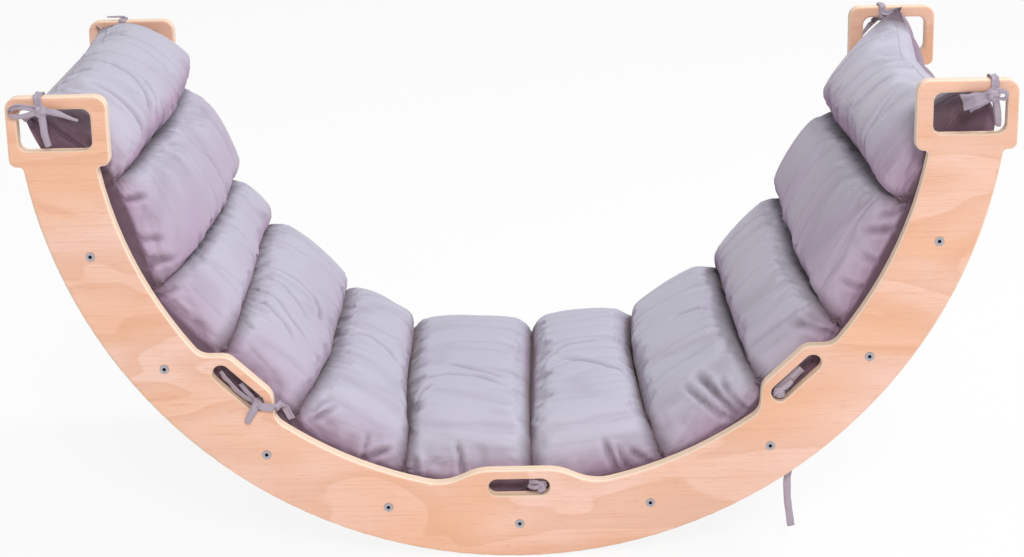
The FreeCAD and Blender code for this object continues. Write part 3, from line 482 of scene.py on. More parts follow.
def zinc_steel(look):
    """Zinc-plated steel: grey with a fine uneven bloom, softly glossy."""
    material, tree, shader = new_material("zinc_plated_steel")
    place = add(tree, "ShaderNodeTexCoord")
    # Bloom of the plating, about 2 mm across.
    bloom = add(tree, "ShaderNodeTexNoise", {"Vector": place.outputs["Object"], "Scale": 500.0, "Detail": 3.0})
    rough = add(tree, "ShaderNodeMapRange", {"Value": bloom.outputs["Fac"], "To Min": 0.3, "To Max": 0.55})
    # The sockets begin 0.4 mm behind the heads' faces, and are painted dark there as painted shade.
    parts = add(tree, "ShaderNodeSeparateXYZ", {0: place.outputs["Object"]})
    out = add(tree, "ShaderNodeMath", {0: parts.outputs["Y"]}, operation="ABSOLUTE")
    deep = add(tree, "ShaderNodeMapRange", {"Value": out.outputs[0], "From Min": SCREW_FACE - 0.0004,
                                            "From Max": SCREW_FACE - 0.0001, "To Min": 1.0, "To Max": 0.0})
    colour = add(tree, "ShaderNodeMix", {"Factor": deep.outputs[0], "A": linear(look.steel), "B": linear(look.socket)},
                 data_type="RGBA")
    feed(tree, shader, {"Base Color": colour.outputs["Result"], "Roughness": rough.outputs[0], "Metallic": 1.0})
    return material


def cotton(name, light, dark, under=None):
    """Washed cotton in plain weave: matt, with a soft nap and faint uneven dye; painted light on top, painted shade at
    seams and underneath.
    """
    material, tree, shader = new_material(name)
    place = add(tree, "ShaderNodeTexCoord")
    # Uneven dye, in clouds of about 80 mm, with painted light and shade: lighter where the cloth faces up, deeper where
    # it faces sideways.
    clouds = add(tree, "ShaderNodeTexNoise", {"Vector": place.outputs["Object"], "Scale": 12.0, "Detail": 3.0})
    uneven = add(tree, "ShaderNodeMapRange", {"Value": clouds.outputs["Fac"], "From Min": 0.3, "From Max": 0.7,
                                              "To Min": -0.12, "To Max": 0.12})
    facing = add(tree, "ShaderNodeAttribute", attribute_name="faces_up")
    turned = add(tree, "ShaderNodeMath", {0: facing.outputs["Fac"], 1: uneven.outputs[0]}, operation="ADD")
    share = add(tree, "ShaderNodeMapRange", {"Value": turned.outputs[0], "From Min": 0.80, "From Max": 0.0})
    colour = add(tree, "ShaderNodeMix", {"Factor": share.outputs[0], "A": linear(light), "B": linear(dark)},
                 data_type="RGBA")
    if under:
        # Painted shade: the colour darkens underneath, in the creases and in the folds between channels over about 20
        # mm, behind the panels and along the hems.
        shade = add(tree, "ShaderNodeAttribute", attribute_name="in_shade")
        colour = add(tree, "ShaderNodeMix", {"Factor": shade.outputs["Fac"], "A": colour.outputs["Result"],
                                             "B": linear(under)}, data_type="RGBA")
    # The real threads are 0.3 mm apart; they are drawn coarser so that the weave shows.
    turns = 1.0 / WEAVE
    threads_at = add(tree, "ShaderNodeMapping", {"Vector": place.outputs["UV"], "Scale": (turns, turns, turns)})
    warp, weft = (add(tree, "ShaderNodeTexWave", {"Vector": threads_at.outputs[0], "Scale": 0.314, "Distortion": 0.4},
                      bands_direction=way) for way in "XY")
    weave = add(tree, "ShaderNodeMath", {0: warp.outputs["Fac"], 1: weft.outputs["Fac"]}, operation="MULTIPLY")
    # Fine creases 4 mm apart and 50 mm long, square to the seams.
    fine_at = add(tree, "ShaderNodeMapping", {"Vector": place.outputs["UV"], "Scale": (20.0, 250.0, 1.0)})
    fine = add(tree, "ShaderNodeTexNoise", {"Vector": fine_at.outputs[0], "Scale": 1.0, "Detail": 2.0,
                                            "Distortion": 0.5})
    creased = add(tree, "ShaderNodeBump", {"Height": fine.outputs["Fac"], "Strength": 0.5, "Distance": 0.0016})
    bump = add(tree, "ShaderNodeBump", {"Height": weave.outputs[0], "Strength": 0.15, "Distance": 0.0002,
                                        "Normal": creased.outputs[0]})
    feed(tree, shader, {"Base Color": colour.outputs["Result"], "Normal": bump.outputs[0], "Roughness": 0.85,
                        "Specular IOR Level": 0.25, "Sheen Weight": 0.25, "Sheen Roughness": 0.5})
    return material


def sewing_thread(look):
    """Polyester thread: a little glossier than the cloth it holds."""
    material, tree, shader = new_material("sewing_thread")
    place = add(tree, "ShaderNodeTexCoord")
    # Twist of the strands, 0.8 mm apart.
    twist = add(tree, "ShaderNodeTexNoise", {"Vector": place.outputs["Object"], "Scale": 1200.0, "Detail": 1.0})
    rough = add(tree, "ShaderNodeMapRange", {"Value": twist.outputs["Fac"], "To Min": 0.45, "To Max": 0.75})
    feed(tree, shader, {"Base Color": linear(look.thread), "Roughness": rough.outputs[0]})
    return material


def cover(piece, material):
    """Give a piece or a CAD node one material."""
    piece.data.materials.clear()
    piece.data.materials.append(material)


def dress(names, material):
    """Give some CAD nodes one material."""
    for name in names:
        cover(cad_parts[name], material)


def placed(name, data):
    """A new object that holds this data, linked to the scene."""
    made = bpy.data.objects.new(name, data)
    bpy.context.scene.collection.objects.link(made)
    return made


def mesh_piece(name, points, faces, edges=()):
    """A new object from points and faces, or from points and edges."""
    mesh = bpy.data.meshes.new(name)
    mesh.from_pydata([tuple(point) for point in points], edges, faces)
    return placed(name, mesh)


def shade_smooth(mesh):
    mesh.polygons.foreach_set("use_smooth", [True] * len(mesh.polygons))


def applied(piece):
    """Replace a piece's mesh by its evaluated one, and drop its modifiers."""
    graph = bpy.context.evaluated_depsgraph_get()
    mesh = bpy.data.meshes.new_from_object(piece.evaluated_get(graph), preserve_all_data_layers=True, depsgraph=graph)
    old = piece.data
    piece.modifiers.clear()
    piece.data = mesh
    mesh.name = piece.name
    bpy.data.meshes.remove(old)


def soft_noise(x, y, seed):
    """Smooth noise between -1 and 1 on a lattice of ones, the same on every run."""
    left = np.floor(x)
    low = np.floor(y)

    def corner(i, j):
        mixed = np.sin(i * 127.1 + j * 311.7 + seed * 74.7) * 43758.5453
        return 2.0 * (mixed - np.floor(mixed)) - 1.0

    across = x - left
    up = y - low
    across = across * across * (3 - 2 * across)
    up = up * up * (3 - 2 * up)
    lower = corner(left, low) * (1 - across) + corner(left + 1, low) * across
    upper = corner(left, low + 1) * (1 - across) + corner(left + 1, low + 1) * across
    return lower * (1 - up) + upper * up


def crease_noise(x, y, seed):
    """Thin creases, 1 along their lines and falling away on both sides."""
    return (1.0 - np.abs(soft_noise(x, y, seed))) ** 4


def on_circle(degrees, radius):
    """X and Z at an angle and radius about the middle of the panels' circle."""
    turn = np.radians(degrees)
    return np.stack([radius * np.sin(turn), CIRCLE_Z - radius * np.cos(turn)], axis=-1)


def rim_line(rim, station):
    """X and Z of an end channel's rim at each station."""
    table = np.array(rim)
    x = np.interp(station, table[:, 0], table[:, 1])
    z = np.interp(station, table[:, 0], table[:, 2])
    return np.stack([x, CIRCLE_Z + z], axis=-1)


def seam_lines(shape, station, full):
    """X and Z of the twelve lines that bound the channels, for each row from the front hem to the rear one."""
    share = (station + 1) / 2
    lines = [rim_line(LEFT_RIM, station)]
    for number, (front, rear) in enumerate(zip(SEAMS_FRONT, SEAMS_REAR)):
        wander = SEAM_WANDER * soft_noise(share * 3.0, np.full_like(share, number * 1.7), 3) * full
        stray = SEAM_STRAY[number] * (1 - station ** 2)
        hem = SEAM_HEM[number] + (shape.hem - SEAM_HEM[number]) * share
        radius = hem + (SEAM_RADIUS[number] - hem) * np.sqrt(full)
        lines.append(on_circle(front + (rear - front) * share + stray + wander, radius))
    lines.append(rim_line(RIGHT_RIM, station))
    return lines


def channel_profile(number, steps):
    """Way along the chord, from -1 to 1, and share of the height, at steps over one channel."""
    slump = CHANNEL_SLUMP[number]
    steep = abs(slump)
    # Powers of each side: how it runs along the chord, and how it rises.
    uphill = (0.85 + 0.20 * steep, 0.50 + 0.30 * steep)
    downhill = (0.85 - 0.25 * steep, 0.50 - 0.05 * steep)
    left, right = (uphill, downhill) if slump > 0 else (downhill, uphill)
    flatness, fullness = (np.where(steps < 0.5, a, b) for a, b in zip(left, right))
    sweep = -np.cos(math.pi * steps)
    return np.sign(sweep) * np.abs(sweep) ** flatness, np.maximum(np.sin(math.pi * steps), 0) ** fullness


def even_steps(run, rise, count):
    """Places from 0 to 1, at even lengths along a curve that is given at many places."""
    length = np.concatenate([[0.0], np.cumsum(np.hypot(np.diff(run), np.diff(rise)))])
    return np.interp(np.linspace(0, length[-1], count), length, np.linspace(0, 1, len(run)))


def channel_steps(shape, number):
    """Steps over one channel at even lengths of its cloth."""
    side, lift = channel_profile(number, np.linspace(0, 1, PROFILE_SAMPLES))
    return even_steps(side * TYPICAL_LENGTH / 2, lift * TYPICAL_HEIGHT, shape.across + 1)


def cloth_stations(shape):
    """Stations from -1 at the front hem to 1 at the rear one, at even lengths of the cloth."""
    turn = np.linspace(0, math.pi, END_SAMPLES)
    reach = -np.sign(np.cos(turn)) * np.abs(np.cos(turn)) ** (2 / END_POWER)
    steps = even_steps(reach * shape.half_width, np.sin(turn) * TYPICAL_HEIGHT, shape.along + 1)
    return np.interp(steps, np.linspace(0, 1, len(turn)), reach)


def channel_top(shape, number, start, end, full, station, steps):
    """Rows of X and Z over one channel, from its left seam to its right one."""
    side, lift = (numbers[None, :] for numbers in channel_profile(number, steps))
    chord = end - start
    length = np.linalg.norm(chord, axis=1)
    inward = np.stack([-chord[:, 1], chord[:, 0]], axis=-1) / length[:, None]
    middle = (start + end) / 2
    reach = np.hypot(middle[:, 0], middle[:, 1] - CIRCLE_Z)
    uneven = 1 + UNEVEN * soft_noise(station * 1.3 + number * 3.1, station * 0 + number, 11)
    if CHANNEL_CREST[number] is None:
        height = END_HEIGHT[number > 0] * full * uneven + END_LEAST
    else:
        front = HEM_FRONT[number][0]
        hem = front + (shape.hem - front) * (station + 1) / 2
        height = reach - (hem + (CHANNEL_CREST[number] - hem) * full * uneven)
    height = height[:, None]
    slump = CHANNEL_LEAN[number] * height * lift ** LEAN_POWER
    along = chord[:, None, :] * (side / 2)[..., None] + (chord / length[:, None])[:, None, :] * slump[..., None]
    return middle[:, None, :] + along + inward[:, None, :] * (height * lift)[..., None]


def base_rows(shape, degrees, full):
    """Rows of X and Z of the cushion's base, which rests on the rungs and hangs a little between them."""
    half_arc = RUNG_STEP * (len(RUNGS) - 1) / 2
    between = np.abs(np.sin(np.pi * (degrees + half_arc) / RUNG_STEP))
    inside = np.clip((half_arc - np.abs(degrees)) / SAG_FADE + 0.5, 0, 1)
    beyond = np.clip((np.abs(degrees) - half_arc) / SWING_DEGREES, 0, 1)
    radius = RUNG_TOPS + shape.sag * full * between * inside + SWING_OUT * beyond ** SWING_POWER
    return on_circle(degrees, radius - HEM_LIFT * (1 - full) * inside)


def end_back(start, end, drawn, steps):
    """Rows of X and Z down the back of an end channel, from one line to the other through a drawn point."""
    bend = np.array([drawn[0], CIRCLE_Z + drawn[1]])
    way = steps[None, :, None]
    return start[:, None] * (1 - way) ** 2 + bend * 2 * way * (1 - way) + end[:, None] * way ** 2


def degrees_of(line):
    return np.degrees(np.arctan2(line[:, 0], CIRCLE_Z - line[:, 1]))


def cushion_sheets(shape):
    """Points of the top and base sheets as two arrays of rows, columns and X, Y, Z."""
    station = cloth_stations(shape)
    boxy = np.where(station < 0, FRONT_POWER, END_POWER)
    full = np.sqrt(np.maximum(1 - np.abs(station) ** boxy, 0))
    lines = seam_lines(shape, station, full)
    base_lines = [base_rows(shape, degrees_of(line)[:, None], full[:, None])[:, 0] for line in lines]
    top = []
    base = []
    insets = []
    last = len(CHANNEL_CREST) - 1
    for number in range(last + 1):
        start, end = lines[number], lines[number + 1]
        columns = slice(0, None) if number == last else slice(0, -1)
        steps = channel_steps(shape, number)
        top.append(channel_top(shape, number, start, end, full, station, steps)[:, columns])
        insets.append((SEAM_INSET + (HEM_FRONT[number][1] - SEAM_INSET) * np.sin(math.pi * steps))[columns])
        if number == 0:
            under = end_back(start, base_lines[1], END_BACKS[0], steps)
        elif number == last:
            under = end_back(base_lines[last], end, END_BACKS[1], steps)
        else:
            left, right = degrees_of(start)[:, None], degrees_of(end)[:, None]
            under = base_rows(shape, left + (right - left) * steps[None, :], full[:, None])
        base.append(under[:, columns])
    inset = np.concatenate(insets)[None, :] * ((1 - station[:, None]) / 2) ** 4
    sheets = []
    for rows, back in ((np.concatenate(top, axis=1), inset), (np.concatenate(base, axis=1), 0 * inset)):
        sheets.append(np.stack([rows[..., 0], station[:, None] * shape.half_width + back, rows[..., 1]], axis=-1))
    return sheets


def sheet_lengths(top, across):
    """Way along the cloth for each top point, and its distances to the seams of its channel uphill and downhill."""
    steps = np.linalg.norm(np.diff(top, axis=1), axis=2)
    along = np.concatenate([np.zeros((top.shape[0], 1)), np.cumsum(steps, axis=1)], axis=1)
    seams = along[:, ::across]
    column = np.arange(top.shape[1])
    channel = np.minimum(column // across, seams.shape[1] - 2)
    left_gap = along - seams[:, channel]
    right_gap = seams[:, channel + 1] - along
    on_left = channel < MIDDLE_CHANNEL
    uphill = np.where(on_left, left_gap, right_gap)
    downhill = np.where(on_left, right_gap, left_gap)
    return along, uphill, downhill


def hem_lengths(top):
    """Way across the cloth for each top point, from the front hem, and its distance to the nearer hem."""
    steps = np.linalg.norm(np.diff(top, axis=0), axis=2)
    width = np.concatenate([np.zeros((1, top.shape[1])), np.cumsum(steps, axis=0)])
    return width, np.minimum(width, width[-1] - width)


def tucked_share(top, across):
    """How far each top point is tucked in between two channels: 1 where they touch, 0 at the tuck gap."""
    apart = np.full(top.shape[:2], 1.0)
    reach = across // 2
    for seam in range(across, top.shape[1] - 1, across):
        left, right = slice(seam - reach, seam + 1), slice(seam, seam + reach + 1)
        gaps = np.linalg.norm(top[:, left, None] - top[:, None, right], axis=3)
        apart[:, left] = np.minimum(apart[:, left], gaps.min(axis=2))
        apart[:, right] = np.minimum(apart[:, right], gaps.min(axis=1))
    return np.clip(1 - apart / TUCK_GAP, 0, 1) ** TUCK_POWER


def finer(points, times):
    """More points between those along the first axis, on smooth curves through them."""
    first, last = 2 * points[:1] - points[1:2], 2 * points[-1:] - points[-2:-1]
    padded = np.concatenate([first, points, last])
    a, b, c, d = padded[:-3], padded[1:-2], padded[2:-1], padded[3:]
    between = []
    for t in np.arange(times) / times:
        between.append(b + 0.5 * ((c - a) * t + (2 * a - 5 * b + 4 * c - d) * t ** 2 + (3 * (b - c) + d - a) * t ** 3))
    made = np.stack(between, axis=1).reshape(-1, *points.shape[1:])
    return np.concatenate([made, points[-1:]])


def finer_columns(sheet, across):
    """More columns in each channel of a sheet; the seams stay sharp."""
    turned = np.swapaxes(sheet, 0, 1)
    firsts = range(0, len(turned) - 1, across)
    pieces = [finer(turned[first:first + across + 1], FINER_COLUMNS)[:-1] for first in firsts]
    return np.swapaxes(np.concatenate(pieces + [turned[-1:]]), 0, 1)


def sheet_faces(grid):
    """Faces between neighbouring rows and columns of point numbers; a point that corners share is named once."""
    corners = np.stack([grid[:-1, :-1], grid[:-1, 1:], grid[1:, 1:], grid[1:, :-1]], axis=-1).reshape(-1, 4)
    return [tuple(dict.fromkeys(face)) for face in corners.tolist()]


def rim_faces(rim, inner, times):
    """Faces between a rim and the base's next column, which has fewer points."""
    faces = []
    for row in range(len(inner) - 1):
        edge = [int(point) for point in rim[row * times:(row + 1) * times + 1]]
        faces.append((int(inner[row + 1]), int(inner[row]), *edge))
    return faces


def hem_strips(top, base, top_at, base_at, first):
    """Points and faces of the strips that join the two sheets' front and rear hems; first is the next free number."""
    shares = np.array([1 / 3, 2 / 3])[:, None, None]
    points = []
    faces = []
    for row, outward in ((0, -1), (-1, 1)):
        strip = top[row] * (1 - shares) + base[row] * shares
        strip[..., 1] += outward * STRIP_BULGE
        at = first + np.arange(strip[..., 0].size).reshape(strip.shape[:2])
        grid = np.concatenate([top_at[row][None], at, base_at[row][None]])
        grid[:, [0, -1]] = top_at[row][[0, -1]]
        faces += sheet_faces(grid[::-1] if row == 0 else grid)
        points.append(strip.reshape(-1, 3))
        first += at.size
    return np.concatenate(points), faces


def cushion_mesh(top, base, facing, creases):
    """One closed mesh from the two sheets; its attributes say how far each point faces up and lies in shade, for
    painted light and shade.
    """
    times = (len(top) - 1) // (len(base) - 1)
    top_at = np.arange(top[..., 0].size).reshape(top.shape[:2])
    base_at = top_at.size + np.arange(base[..., 0].size).reshape(base.shape[:2])
    base_at[:, 0], base_at[:, -1] = top_at[::times, 0], top_at[::times, -1]
    strips, faces = hem_strips(top, base, top_at, base_at, top_at.size + base_at.size)
    faces += sheet_faces(top_at) + [face[::-1] for face in sheet_faces(base_at[:, 1:-1])]
    faces += rim_faces(top_at[:, 0], base_at[:, 1], times)
    faces += [face[::-1] for face in rim_faces(top_at[:, -1], base_at[:, -2], times)]
    points = np.concatenate([top.reshape(-1, 3), base.reshape(-1, 3), strips])
    cushion = mesh_piece("channel_cushion", points, faces)
    across = (top.shape[1] - 1) // len(CHANNEL_CREST)
    # Painted shade in the tucks between channels and in creases.
    shade = np.maximum(TUCK_SHADE * tucked_share(top, across), CREASE_SHADE * creases)
    # Painted shade also darkens the cloth close behind a panel, and the hem outside its stitches.
    far_out = np.hypot(top[..., 0], top[..., 2] - CIRCLE_Z)
    behind = np.clip((far_out - BEHIND_RADIUS) / BEHIND_OVER, 0, 1)
    behind *= np.clip((np.abs(top[..., 1]) - BEHIND_SIDE) / BEHIND_SIDE_OVER, 0, 1)
    hemmed = np.clip((HEM_BAND - hem_lengths(top)[1]) / HEM_BAND_OVER, 0, 1)
    shade = np.maximum(shade, HEM_SHADE * np.maximum(behind, hemmed)).ravel()
    # The base and hem strips get a fixed share of painted shade; only the top gets painted light by facing.
    values = {
        "faces_up": np.concatenate([facing.ravel(), np.zeros(len(points) - top_at.size)]),
        "in_shade": np.concatenate([shade, np.full(base_at.size, BASE_SHADE), np.full(len(strips), STRIP_SHADE)]),
    }
    for name, numbers in values.items():
        cushion.data.attributes.new(name, "FLOAT", "POINT").data.foreach_set("value", numbers.astype(np.float32))
    unwrap_cloth(cushion.data, points, sheet_lengths(top, across)[0])
    return cushion


def unwrap_cloth(mesh, points, along):
    """Give the cloth a UV map in metres, and drop the points that belong to no face."""
    way = np.concatenate([along.ravel(), points[along.size:, 0]])
    corners = np.empty(len(mesh.loops), dtype=np.int32)
    mesh.loops.foreach_get("vertex_index", corners)
    uv = np.stack([way[corners], points[corners, 1]], axis=-1)
    mesh.uv_layers.new(name="cloth").data.foreach_set("uv", uv.ravel().astype(np.float32))
    bm = bmesh.new()
    bm.from_mesh(mesh)
    bmesh.ops.delete(bm, geom=[vertex for vertex in bm.verts if not vertex.link_faces], context="VERTS")
    bm.to_mesh(mesh)
    bm.free()


def read_points(mesh):
    spots = np.empty(len(mesh.vertices) * 3, dtype=np.float32)
    mesh.vertices.foreach_get("co", spots)
    return spots.reshape(-1, 3).astype(np.float64)


def stuff(top, base, shape):
    """Blow the top sheet up from inside with a cloth simulation, sewn points held, and cap how far it moves."""
    top_at = np.arange(top[..., 0].size).reshape(top.shape[:2])
    base_at = top_at + top_at.size
    base_at[:, [0, -1]] = top_at[:, [0, -1]]
    faces = sheet_faces(top_at) + [face[::-1] for face in sheet_faces(base_at)]
    for row in (0, -1):
        strip = np.stack([top_at[row], base_at[row]])
        faces += sheet_faces(strip[::-1] if row == 0 else strip)
    before = np.concatenate([top.reshape(-1, 3), base.reshape(-1, 3)])
    bag = mesh_piece("stuffed_bag", before, faces)
    sewn = set(top_at[[0, -1]].ravel()) | set(top_at[:, ::shape.across].ravel()) | set(range(top_at.size, len(before)))
    bag.vertex_groups.new(name="sewn").add([int(index) for index in sewn], 1.0, "REPLACE")
    cloth = bag.modifiers.new("stuffing", "CLOTH")
    for name, value in SIM_CLOTH.items():
        setattr(cloth.settings, name, value)
    cloth.settings.uniform_pressure_force = shape.pressure
    cloth.settings.effector_weights.gravity = 0
    cloth.collision_settings.use_collision = False
    cloth.collision_settings.use_self_collision = False
    cloth.point_cache.frame_start = 1
    cloth.point_cache.frame_end = SIM_FRAMES
    for number in range(1, SIM_FRAMES + 1):
        bpy.context.scene.frame_set(number)
    applied(bag)
    move = (read_points(bag.data)[:top_at.size] - before[:top_at.size]).reshape(top.shape)
    reach = np.linalg.norm(move, axis=2)
    _, uphill, downhill = sheet_lengths(top, shape.across)
    cap = shape.swell * np.clip(np.minimum(uphill, downhill) / SEAM_HOLD, 0, 1)
    cap *= np.clip(hem_lengths(top)[1] / HEM_HOLD, 0, 1)
    bpy.data.objects.remove(bag)
    bpy.context.scene.frame_set(1)
    return top + move * np.minimum(1.0, cap / np.maximum(reach, 1e-9))[..., None]


def crease_base(base):
    """Press long creases into the base, towards the stuffing."""
    # A noise is given waves per metre of cloth, or per radian of a turn, and then its seed. Lengths are in metres.
    steps = np.linalg.norm(np.diff(base, axis=1), axis=2)
    along = np.concatenate([np.zeros((len(base), 1)), np.cumsum(steps, axis=1)], axis=1)
    edge = np.minimum(np.minimum(along, along[:, -1:] - along), base[..., 1].max() - np.abs(base[..., 1]))
    drift = 0.02 * soft_noise(along * 7, base[..., 1] * 6, 31)
    depth = BASE_CREASE * crease_noise((base[..., 1] + drift) * 22, along * 5, 32)
    depth += BASE_DENT * (0.5 + 0.5 * soft_noise(along * 16, base[..., 1] * 14, 33))
    inward = np.stack([-base[..., 0], 0 * along, CIRCLE_Z - base[..., 2]], axis=-1)
    inward /= np.linalg.norm(inward, axis=2)[..., None]
    return base + inward * (depth * np.clip(edge / 0.02, 0, 1))[..., None]


def sheet_normals(sheet):
    """Directions out of the cloth at each point of a sheet."""
    out = np.cross(np.gradient(sheet, axis=1), np.gradient(sheet, axis=0))
    return out / np.maximum(np.linalg.norm(out, axis=2), 1e-12)[..., None]


def pinch_corners(top, across):
    """Draw the cloth in where each seam meets a hem."""
    drawn = top.copy()
    for row in (0, -1):
        for column in range(across, top.shape[1] - 1, across):
            corner = top[row, column]
            away = top - corner
            gap = np.linalg.norm(away, axis=2)
            drawn -= away * (PINCH * np.exp(-(gap / PINCH_REACH) ** 2))[..., None]
    return drawn


def drawn_folds(along, width, across):
    """Depth of the folds that are drawn one by one, with a soft lip on both sides of each; a hem cuts them short."""
    depth = np.zeros(along.shape)
    for number, places, deep, half_width in FOLDS:
        at_start, at_end = (FREE_END if end[1] > CUT_SHORT else 1.0 for end in (places[0], places[-1]))
        columns = slice(number * across, (number + 1) * across + 1)
        x = along[:, columns] - along[:, columns][:, :1]
        y = width[:, columns]
        length = x[:, -1:]
        nearest = np.full(x.shape, 1.0)
        taper = np.zeros(x.shape)
        last = len(places) - 1
        for step, (start, end) in enumerate(zip(places, places[1:])):
            run, rise = (end[0] - start[0]) * length, end[1] - start[1]
            off_x, off_y = x - start[0] * length, y - start[1]
            way = np.clip((off_x * run + off_y * rise) / (run ** 2 + rise ** 2), 0, 1)
            gap = np.hypot(off_x - way * run, off_y - way * rise)
            share = (step + way) / last
            thins = np.minimum(np.minimum(at_start + share * DEEPENS, at_end + (1 - share) * DEEPENS), 1)
            taper = np.where(gap < nearest, thins, taper)
            nearest = np.minimum(gap, nearest)
        lips = LIP_HEIGHT * np.exp(-(nearest / half_width - LIP_PLACE) ** 2)
        depth[:, columns] += deep * taper * (np.exp(-(nearest / half_width) ** 1.5) - lips)
    return depth


def wrinkle(top, shape):
    """Press creases in: folds across the channels, puckers at seams, gathers at hems and fans at corners.

    Returns the creased sheet, and how deep in a crease each of its points lies, from 0 to 1.
    """
    # A noise is given waves per metre of cloth, or per radian of a turn, and then its seed. Lengths are in metres.
    across = shape.across * FINER_COLUMNS
    top = pinch_corners(top, across)
    along, uphill, downhill = sheet_lengths(top, across)
    seam_gap = np.maximum(np.minimum(uphill, downhill), 0)
    width, hem_gap = hem_lengths(top)
    # The two hems draw their creases from far apart in the noise, so that they differ.
    side = np.where(top[..., 1] > 0, 40.0, -40.0)
    drift = 0.010 * soft_noise(along * 14, width * 8, 21)
    folds = crease_noise((width + drift) * 30, along * 6, 22) * np.clip(seam_gap / 0.04, 0.2, 1)
    # Neighbouring channels touch over about 50 mm of cloth beside a seam, so the puckers show beyond that.
    near_seams = np.exp(-np.maximum(uphill - 0.045, 0) / 0.030) + 0.6 * np.exp(-np.maximum(downhill - 0.045, 0) / 0.012)
    puckers = crease_noise((width + 0.6 * drift) * 66, along * 6, 23) * near_seams * np.clip(seam_gap / 0.03, 0, 1)
    gathers = crease_noise(along * 72 + 3 * drift, side + hem_gap * 12, 24) * np.exp(-hem_gap / 0.018)
    drags = crease_noise(along * 17 + 4 * drift, side + hem_gap * 7, 27) * np.exp(-hem_gap / 0.035)
    corner = np.hypot(seam_gap, hem_gap)
    turn = np.arctan2(hem_gap, seam_gap)
    fans = crease_noise(turn * 5.5, along * 5 + side, 26) * np.exp(-corner / 0.05) * np.clip(corner / 0.008, 0, 1)
    dents = (0.5 + 0.5 * soft_noise(along * 15, width * 13, 25)) * np.clip(hem_gap / 0.09, 0, 1)
    depth = FOLD_DEPTH * folds + PUCKER_DEPTH * puckers + GATHER_DEPTH * gathers + DRAG_DEPTH * drags
    depth = depth + FAN_DEPTH * fans + DENT_DEPTH * dents
    depth += drawn_folds(along, width, across)
    held = np.clip(seam_gap / HELD, 0.0, 1.0) * np.clip(hem_gap / HELD, 0.0, 1.0)
    sewn = SEWN_DEPTH * np.exp(-((hem_gap - SEWN_PLACE) / SEWN_HALF_WIDTH) ** 2)
    bunched = soft_noise(along * 130, side + width * 130, 28)
    tufts = TUFT_HEIGHT * bunched * np.exp(-(corner / TUFT_REACH) ** 2)
    # How deep in a crease each point lies, and in the hollows of the corner tufts, as a share of painted shade.
    creases = np.clip((depth - DENT_DEPTH * dents - CREASE_FROM) / CREASE_OVER, 0, 1) ** CREASE_POWER * held
    creases = np.maximum(creases, np.clip(0.4 - bunched, 0, 1) * np.exp(-(corner / 0.011) ** 2))
    return top + sheet_normals(top) * (tufts - sewn - depth * held)[..., None], creases


def sewn_lines(top, across):
    """Points of the stitched lines: beside both hems and both rims, a little above the cloth."""
    raised = top + sheet_normals(top) * STITCH_LIFT
    column = across // STITCH_PART
    return [raised[STITCH_ROW], raised[-1 - STITCH_ROW], raised[:, column], raised[:, -1 - column]]


def stitch_nodes():
    """Nodes that lay one stitch at even steps along each line."""
    tree = bpy.data.node_groups.new("stitches", "GeometryNodeTree")
    for name, kind in (("Lines", "Geometry"), ("Pitch", "Float"), ("Length", "Float"), ("Thickness", "Float"),
                       ("Thread", "Material")):
        tree.interface.new_socket(name, in_out="INPUT", socket_type="NodeSocket" + kind)
    tree.interface.new_socket("Stitches", in_out="OUTPUT", socket_type="NodeSocketGeometry")
    given = add(tree, "NodeGroupInput").outputs
    curves = add(tree, "GeometryNodeMeshToCurve", {"Mesh": given["Lines"]})
    steps = add(tree, "GeometryNodeResampleCurve", {"Curve": curves.outputs[0], "Length": given["Pitch"]},
                mode="LENGTH")
    along = add(tree, "GeometryNodeInputTangent")
    turn = add(tree, "FunctionNodeAlignRotationToVector", {"Vector": along.outputs[0]}, axis="X")
    stitch = add(tree, "GeometryNodeMeshUVSphere", {"Segments": 6, "Rings": 4, "Radius": 0.5})
    size = add(tree, "ShaderNodeCombineXYZ", {"X": given["Length"], "Y": given["Thickness"], "Z": given["Thickness"]})
    laid = add(tree, "GeometryNodeInstanceOnPoints", {"Points": steps.outputs[0], "Instance": stitch.outputs["Mesh"],
                                                      "Rotation": turn.outputs[0], "Scale": size.outputs[0]})
    real = add(tree, "GeometryNodeRealizeInstances", {"Geometry": laid.outputs[0]})
    dyed = add(tree, "GeometryNodeSetMaterial", {"Geometry": real.outputs[0], "Material": given["Thread"]})
    add(tree, "NodeGroupOutput", {"Stitches": dyed.outputs[0]})
    return tree


def stitch_lines(name, lines, shape, thread):
    """A piece of stitches along lines of points."""
    points = np.concatenate(lines)
    ends = np.cumsum([len(line) for line in lines]) - 1
    edges = [(number, number + 1) for number in range(len(points) - 1) if number not in ends]
    piece = mesh_piece(name, points, [], edges)
    sewing = piece.modifiers.new("stitches", "NODES")
    sewing.node_group = stitch_nodes()
    sockets = {item.name: item.identifier for item in sewing.node_group.interface.items_tree}
    for socket, value in (("Pitch", shape.stitch_pitch), ("Length", shape.stitch_length),
                          ("Thickness", shape.thread_size), ("Thread", thread)):
        sewing[sockets[socket]] = value
    applied(piece)
    shade_smooth(piece.data)
    return piece


def spline_points(route):
    """Points along a smooth spline that has the route as its control points."""
    curve = bpy.data.curves.new("route", "CURVE")
    curve.dimensions = "3D"
    spline = curve.splines.new("NURBS")
    spline.points.add(len(route) - 1)
    for point, place in zip(spline.points, route):
        point.co = (*place, 1.0)
    spline.order_u = 3
    spline.use_endpoint_u = True
    spline.resolution_u = 10
    holder = placed("route", curve)
    graph = bpy.context.evaluated_depsgraph_get()
    mesh = bpy.data.meshes.new_from_object(holder.evaluated_get(graph))
    points = [vertex.co.copy() for vertex in mesh.vertices]
    bpy.data.objects.remove(holder)
    bpy.data.curves.remove(curve)
    bpy.data.meshes.remove(mesh)
    return points


